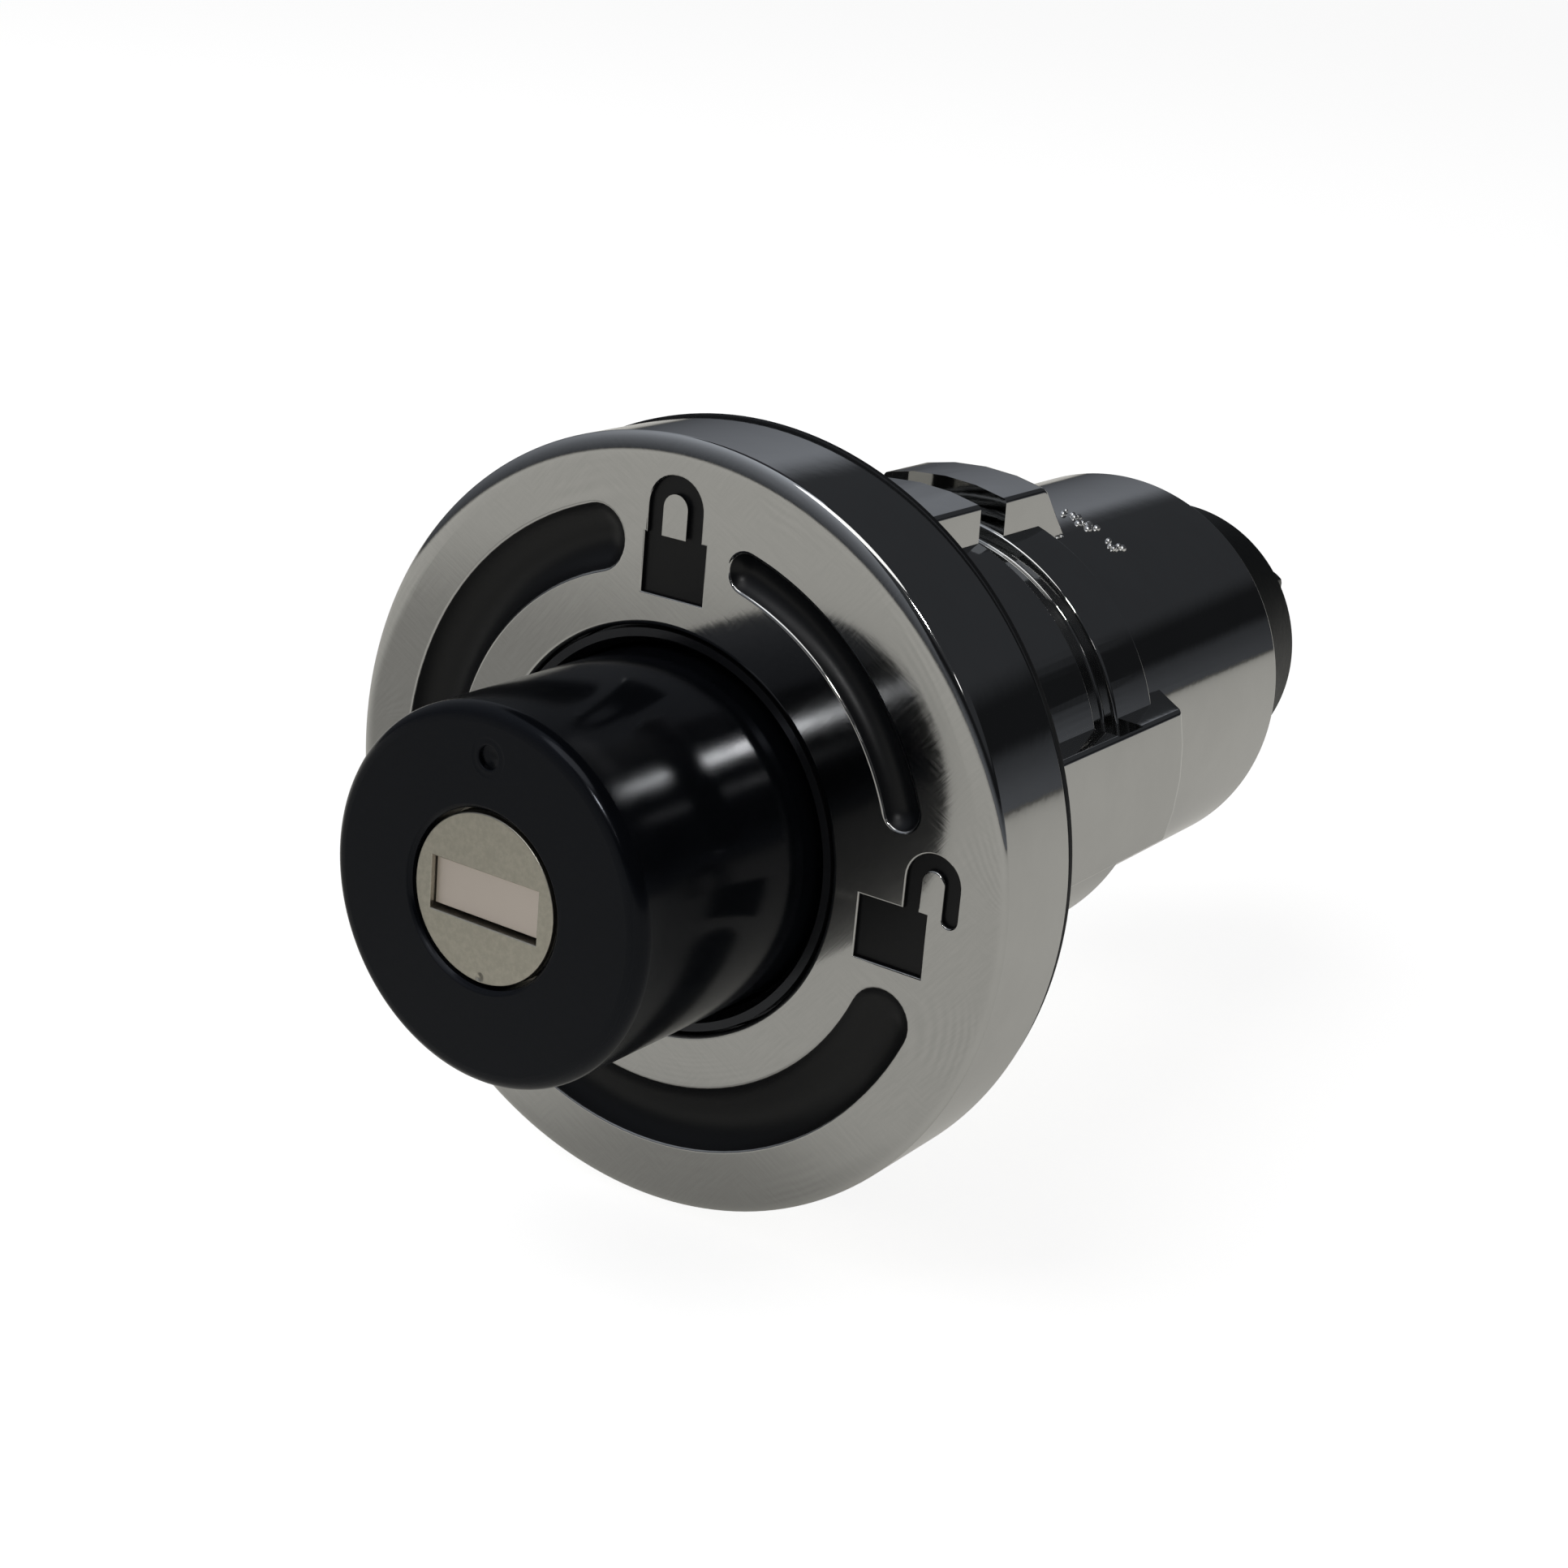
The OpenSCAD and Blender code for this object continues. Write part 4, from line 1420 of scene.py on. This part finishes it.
def glint(name: str, azimuth: float, elevation: float, size: float, power: float, away: float = 1.4) -> Lamp:
    """A lamp for one highlight.

    Args:
        name: The lamp's name.
        azimuth: Degrees from +Y towards +X.
        elevation: Degrees above the floor.
        size: The disc's diameter.
        power: Its power.
        away: Its distance.

    Returns:
        The lamp.
    """
    a, e = math.radians(azimuth), math.radians(elevation)
    place = (away * math.sin(a) * math.cos(e), away * math.cos(a) * math.cos(e), away * math.sin(e))
    return Lamp(name, place, size, power, Seen.BY_GLOSS)


@dataclass
class Studio:
    """Floor, surroundings, lamps and camera."""

    floor_z: float = -0.0286
    floor_half: float = 6.0
    paper: Colour = (0.86, 0.86, 0.86, 1.0)
    reflected_paper: Colour = (0.88, 0.865, 0.815, 1.0)
    backdrop: Colour = (1.0, 1.0, 1.0, 1.0)
    ambient: Colour = (0.12, 0.12, 0.12, 1.0)
    far_wall: Colour = (0.85, 0.9, 1.0, 1.0)
    camera_place: Place = (0.101586, -0.149381, 0.063571)
    camera_target: Place = (0.004560, -0.0008, 0.002801)
    camera_up: Place = (-0.104528, 0.0, 0.994522)
    lens: float = 60.56
    lamps: list[Lamp] = field(
        default_factory=lambda: [
            Lamp("overhead", (-0.35, -0.45, 1.0), 0.9, 2.2, Seen.BY_DULL),
            Lamp("left_fill", (-0.9, -0.7, 0.5), 0.7, 1.0, Seen.BY_DULL),
            glint("room_lamp", 159.5, 33.2, 0.12, 2.9),
            glint("second_lamp", 148.0, 24.2, 0.09, 0.08),
            glint("ceiling_panel", 168.7, 59.0, 0.8, 3.0),
        ]
    )

    def surroundings(self) -> None:
        """A pale backdrop for the camera and a dark room with a pale far wall for reflections."""
        world = bpy.data.worlds.new("room")
        bpy.context.scene.world = world
        shader = ShaderTree(world)
        x, y, z = shader.split(shader.node("ShaderNodeTexCoord").outputs["Generated"])
        degrees = 180.0 / math.pi
        azimuth = x.maths("ARCTAN2", x, y) * degrees
        height = z.maths("ARCSINE", z) * degrees
        # A pale wall behind on the left, brighter higher up, whose top slopes.
        wall_top = height + (azimuth + 20.0) * 0.6
        wall = azimuth.rise(-9.0, -22.0) * wall_top.rise(30.0, 20.0) * (height * 0.0085 + 0.04)
        # On the right, a dim band above the floor and a brighter strip near it.
        shade = azimuth.rise(8.0, 22.0) * z.rise(0.12, 0.18) * z.rise(0.36, 0.27)
        skirting = azimuth.rise(15.0, 50.0) * z.rise(0.17, 0.0) * 0.12
        room = shader.mix(wall + skirting + 0.047 - shade * 0.033, BLACK, self.far_wall)
        path = shader.node("ShaderNodeLightPath").outputs
        seen = shader.mix(path["Is Glossy Ray"], self.ambient, room)
        seen = shader.mix(path["Is Camera Ray"], seen, self.backdrop)
        back = shader.out("ShaderNodeBackground", {"Color": seen, "Strength": 1.0})
        shader.node("ShaderNodeOutputWorld", None, {"Surface": back})

    def floor(self, finish: FloorPaper, drop: float) -> Piece:
        """A plain sheet of pale paper.

        Args:
            finish: The paper, whose name the sheet takes.
            drop: How far it lies below the lock, in millimetres.

        Returns:
            The sheet.
        """
        name = finish.name.removesuffix("_paper")
        half = self.floor_half
        mesh = bpy.data.meshes.new(name)
        corners = [(-half, -half), (half, -half), (half, half), (-half, half)]
        mesh.from_pydata([(x, y, self.floor_z - drop * MM) for x, y in corners], [], [(0, 1, 2, 3)])
        made = wear(new_object(mesh, name), finish)
        return made

    def floors(self) -> None:
        """The white sheet that is looked at, and below it the dimmer one that the lock reflects."""
        seen = self.floor(FloorPaper("floor_paper", self.paper, glow=0.98), 0.0)
        seen.visible_glossy = seen.visible_diffuse = seen.visible_shadow = seen.visible_transmission = False
        shades = {"glow": 0.37, "front_shade": 0.4, "under_shade": 0.3, "far_shade": 0.75}
        dim = FloorPaper("floor_reflected_paper", self.reflected_paper, **shades)
        self.floor(dim, 0.5).visible_camera = False

    def camera(self) -> None:
        """The photograph's camera."""
        data = bpy.data.cameras.new("photo_camera")
        data.lens = self.lens
        data.sensor_width = 36.0
        data.clip_start = 0.005
        data.clip_end = 50.0
        made = new_object(data, "photo_camera")
        place = Vector(self.camera_place)
        ahead = (Vector(self.camera_target) - place).normalized()
        right = ahead.cross(Vector(self.camera_up)).normalized()
        turn = Matrix((right, right.cross(ahead), -ahead)).transposed().to_4x4()
        made.matrix_world = Matrix.Translation(place) @ turn
        bpy.context.scene.camera = made

    def build(self) -> None:
        """Sets up everything around the lock."""
        self.surroundings()
        self.floors()
        for lamp in self.lamps:
            lamp.build()
        self.camera()
        bpy.context.scene.view_settings.view_transform = "Standard"
        bpy.context.scene.view_settings.look = "None"


# The whole


def springs() -> list[Coil]:
    """Every spring of the lock."""
    along, across = Vector((0.0, 1.0, 0.0)), Vector((1.0, 0.0, 0.0))
    size = {"radius": 12.0, "wire": 0.8, "length": 30.16, "turns": 7.0}
    coils = [Coil("return_spring", "housing_body", Vector((0, 18.82, 0)), along, **size)]
    small = {"turns": 5.0, "steps": 16, "sides": 8}
    size = {"radius": 0.55, "wire": 0.09, "length": 1.5, **small}
    coils.append(Coil("shutter_spring", "knob_body", Vector((2.7, -26.1, 1.55)), across, **size))
    size = {"radius": 0.42, "wire": 0.1, "length": 3.18, **small}
    inset, first_y, pitch, height = 1.19, -19.4, 3.2, 2.97
    for k in WAFERS:
        side = 1.0 if k % 2 == 1 else -1.0
        place = Vector((-inset * side, first_y + pitch * (k - 1), height))
        coils.append(Coil(f"wafer_spring_{k}", "knob_body", place, across * side, **size))
    return coils


def dress_frame() -> None:
    """Gives each node that stays in view its finish."""
    for name, finish in NODE_FINISHES.items():
        wear(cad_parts[name], finish)
        log.info("%s wears %s", name, finish.name)


def main() -> None:
    """Builds the pieces in order."""
    logging.basicConfig(level=logging.INFO, format="%(name)s: %(message)s")
    dress_frame()
    builders: list[Callable[[], Any]] = [Housing().build, Gasket().build, Knob().build, PlugFace().build]
    builders += [EndCap().build, TailRod().build, BarrelPips().build]
    builders += [coil.build for coil in springs()]
    for build in builders:
        build()
    Studio().build()


if __name__ == "__main__":
    main()
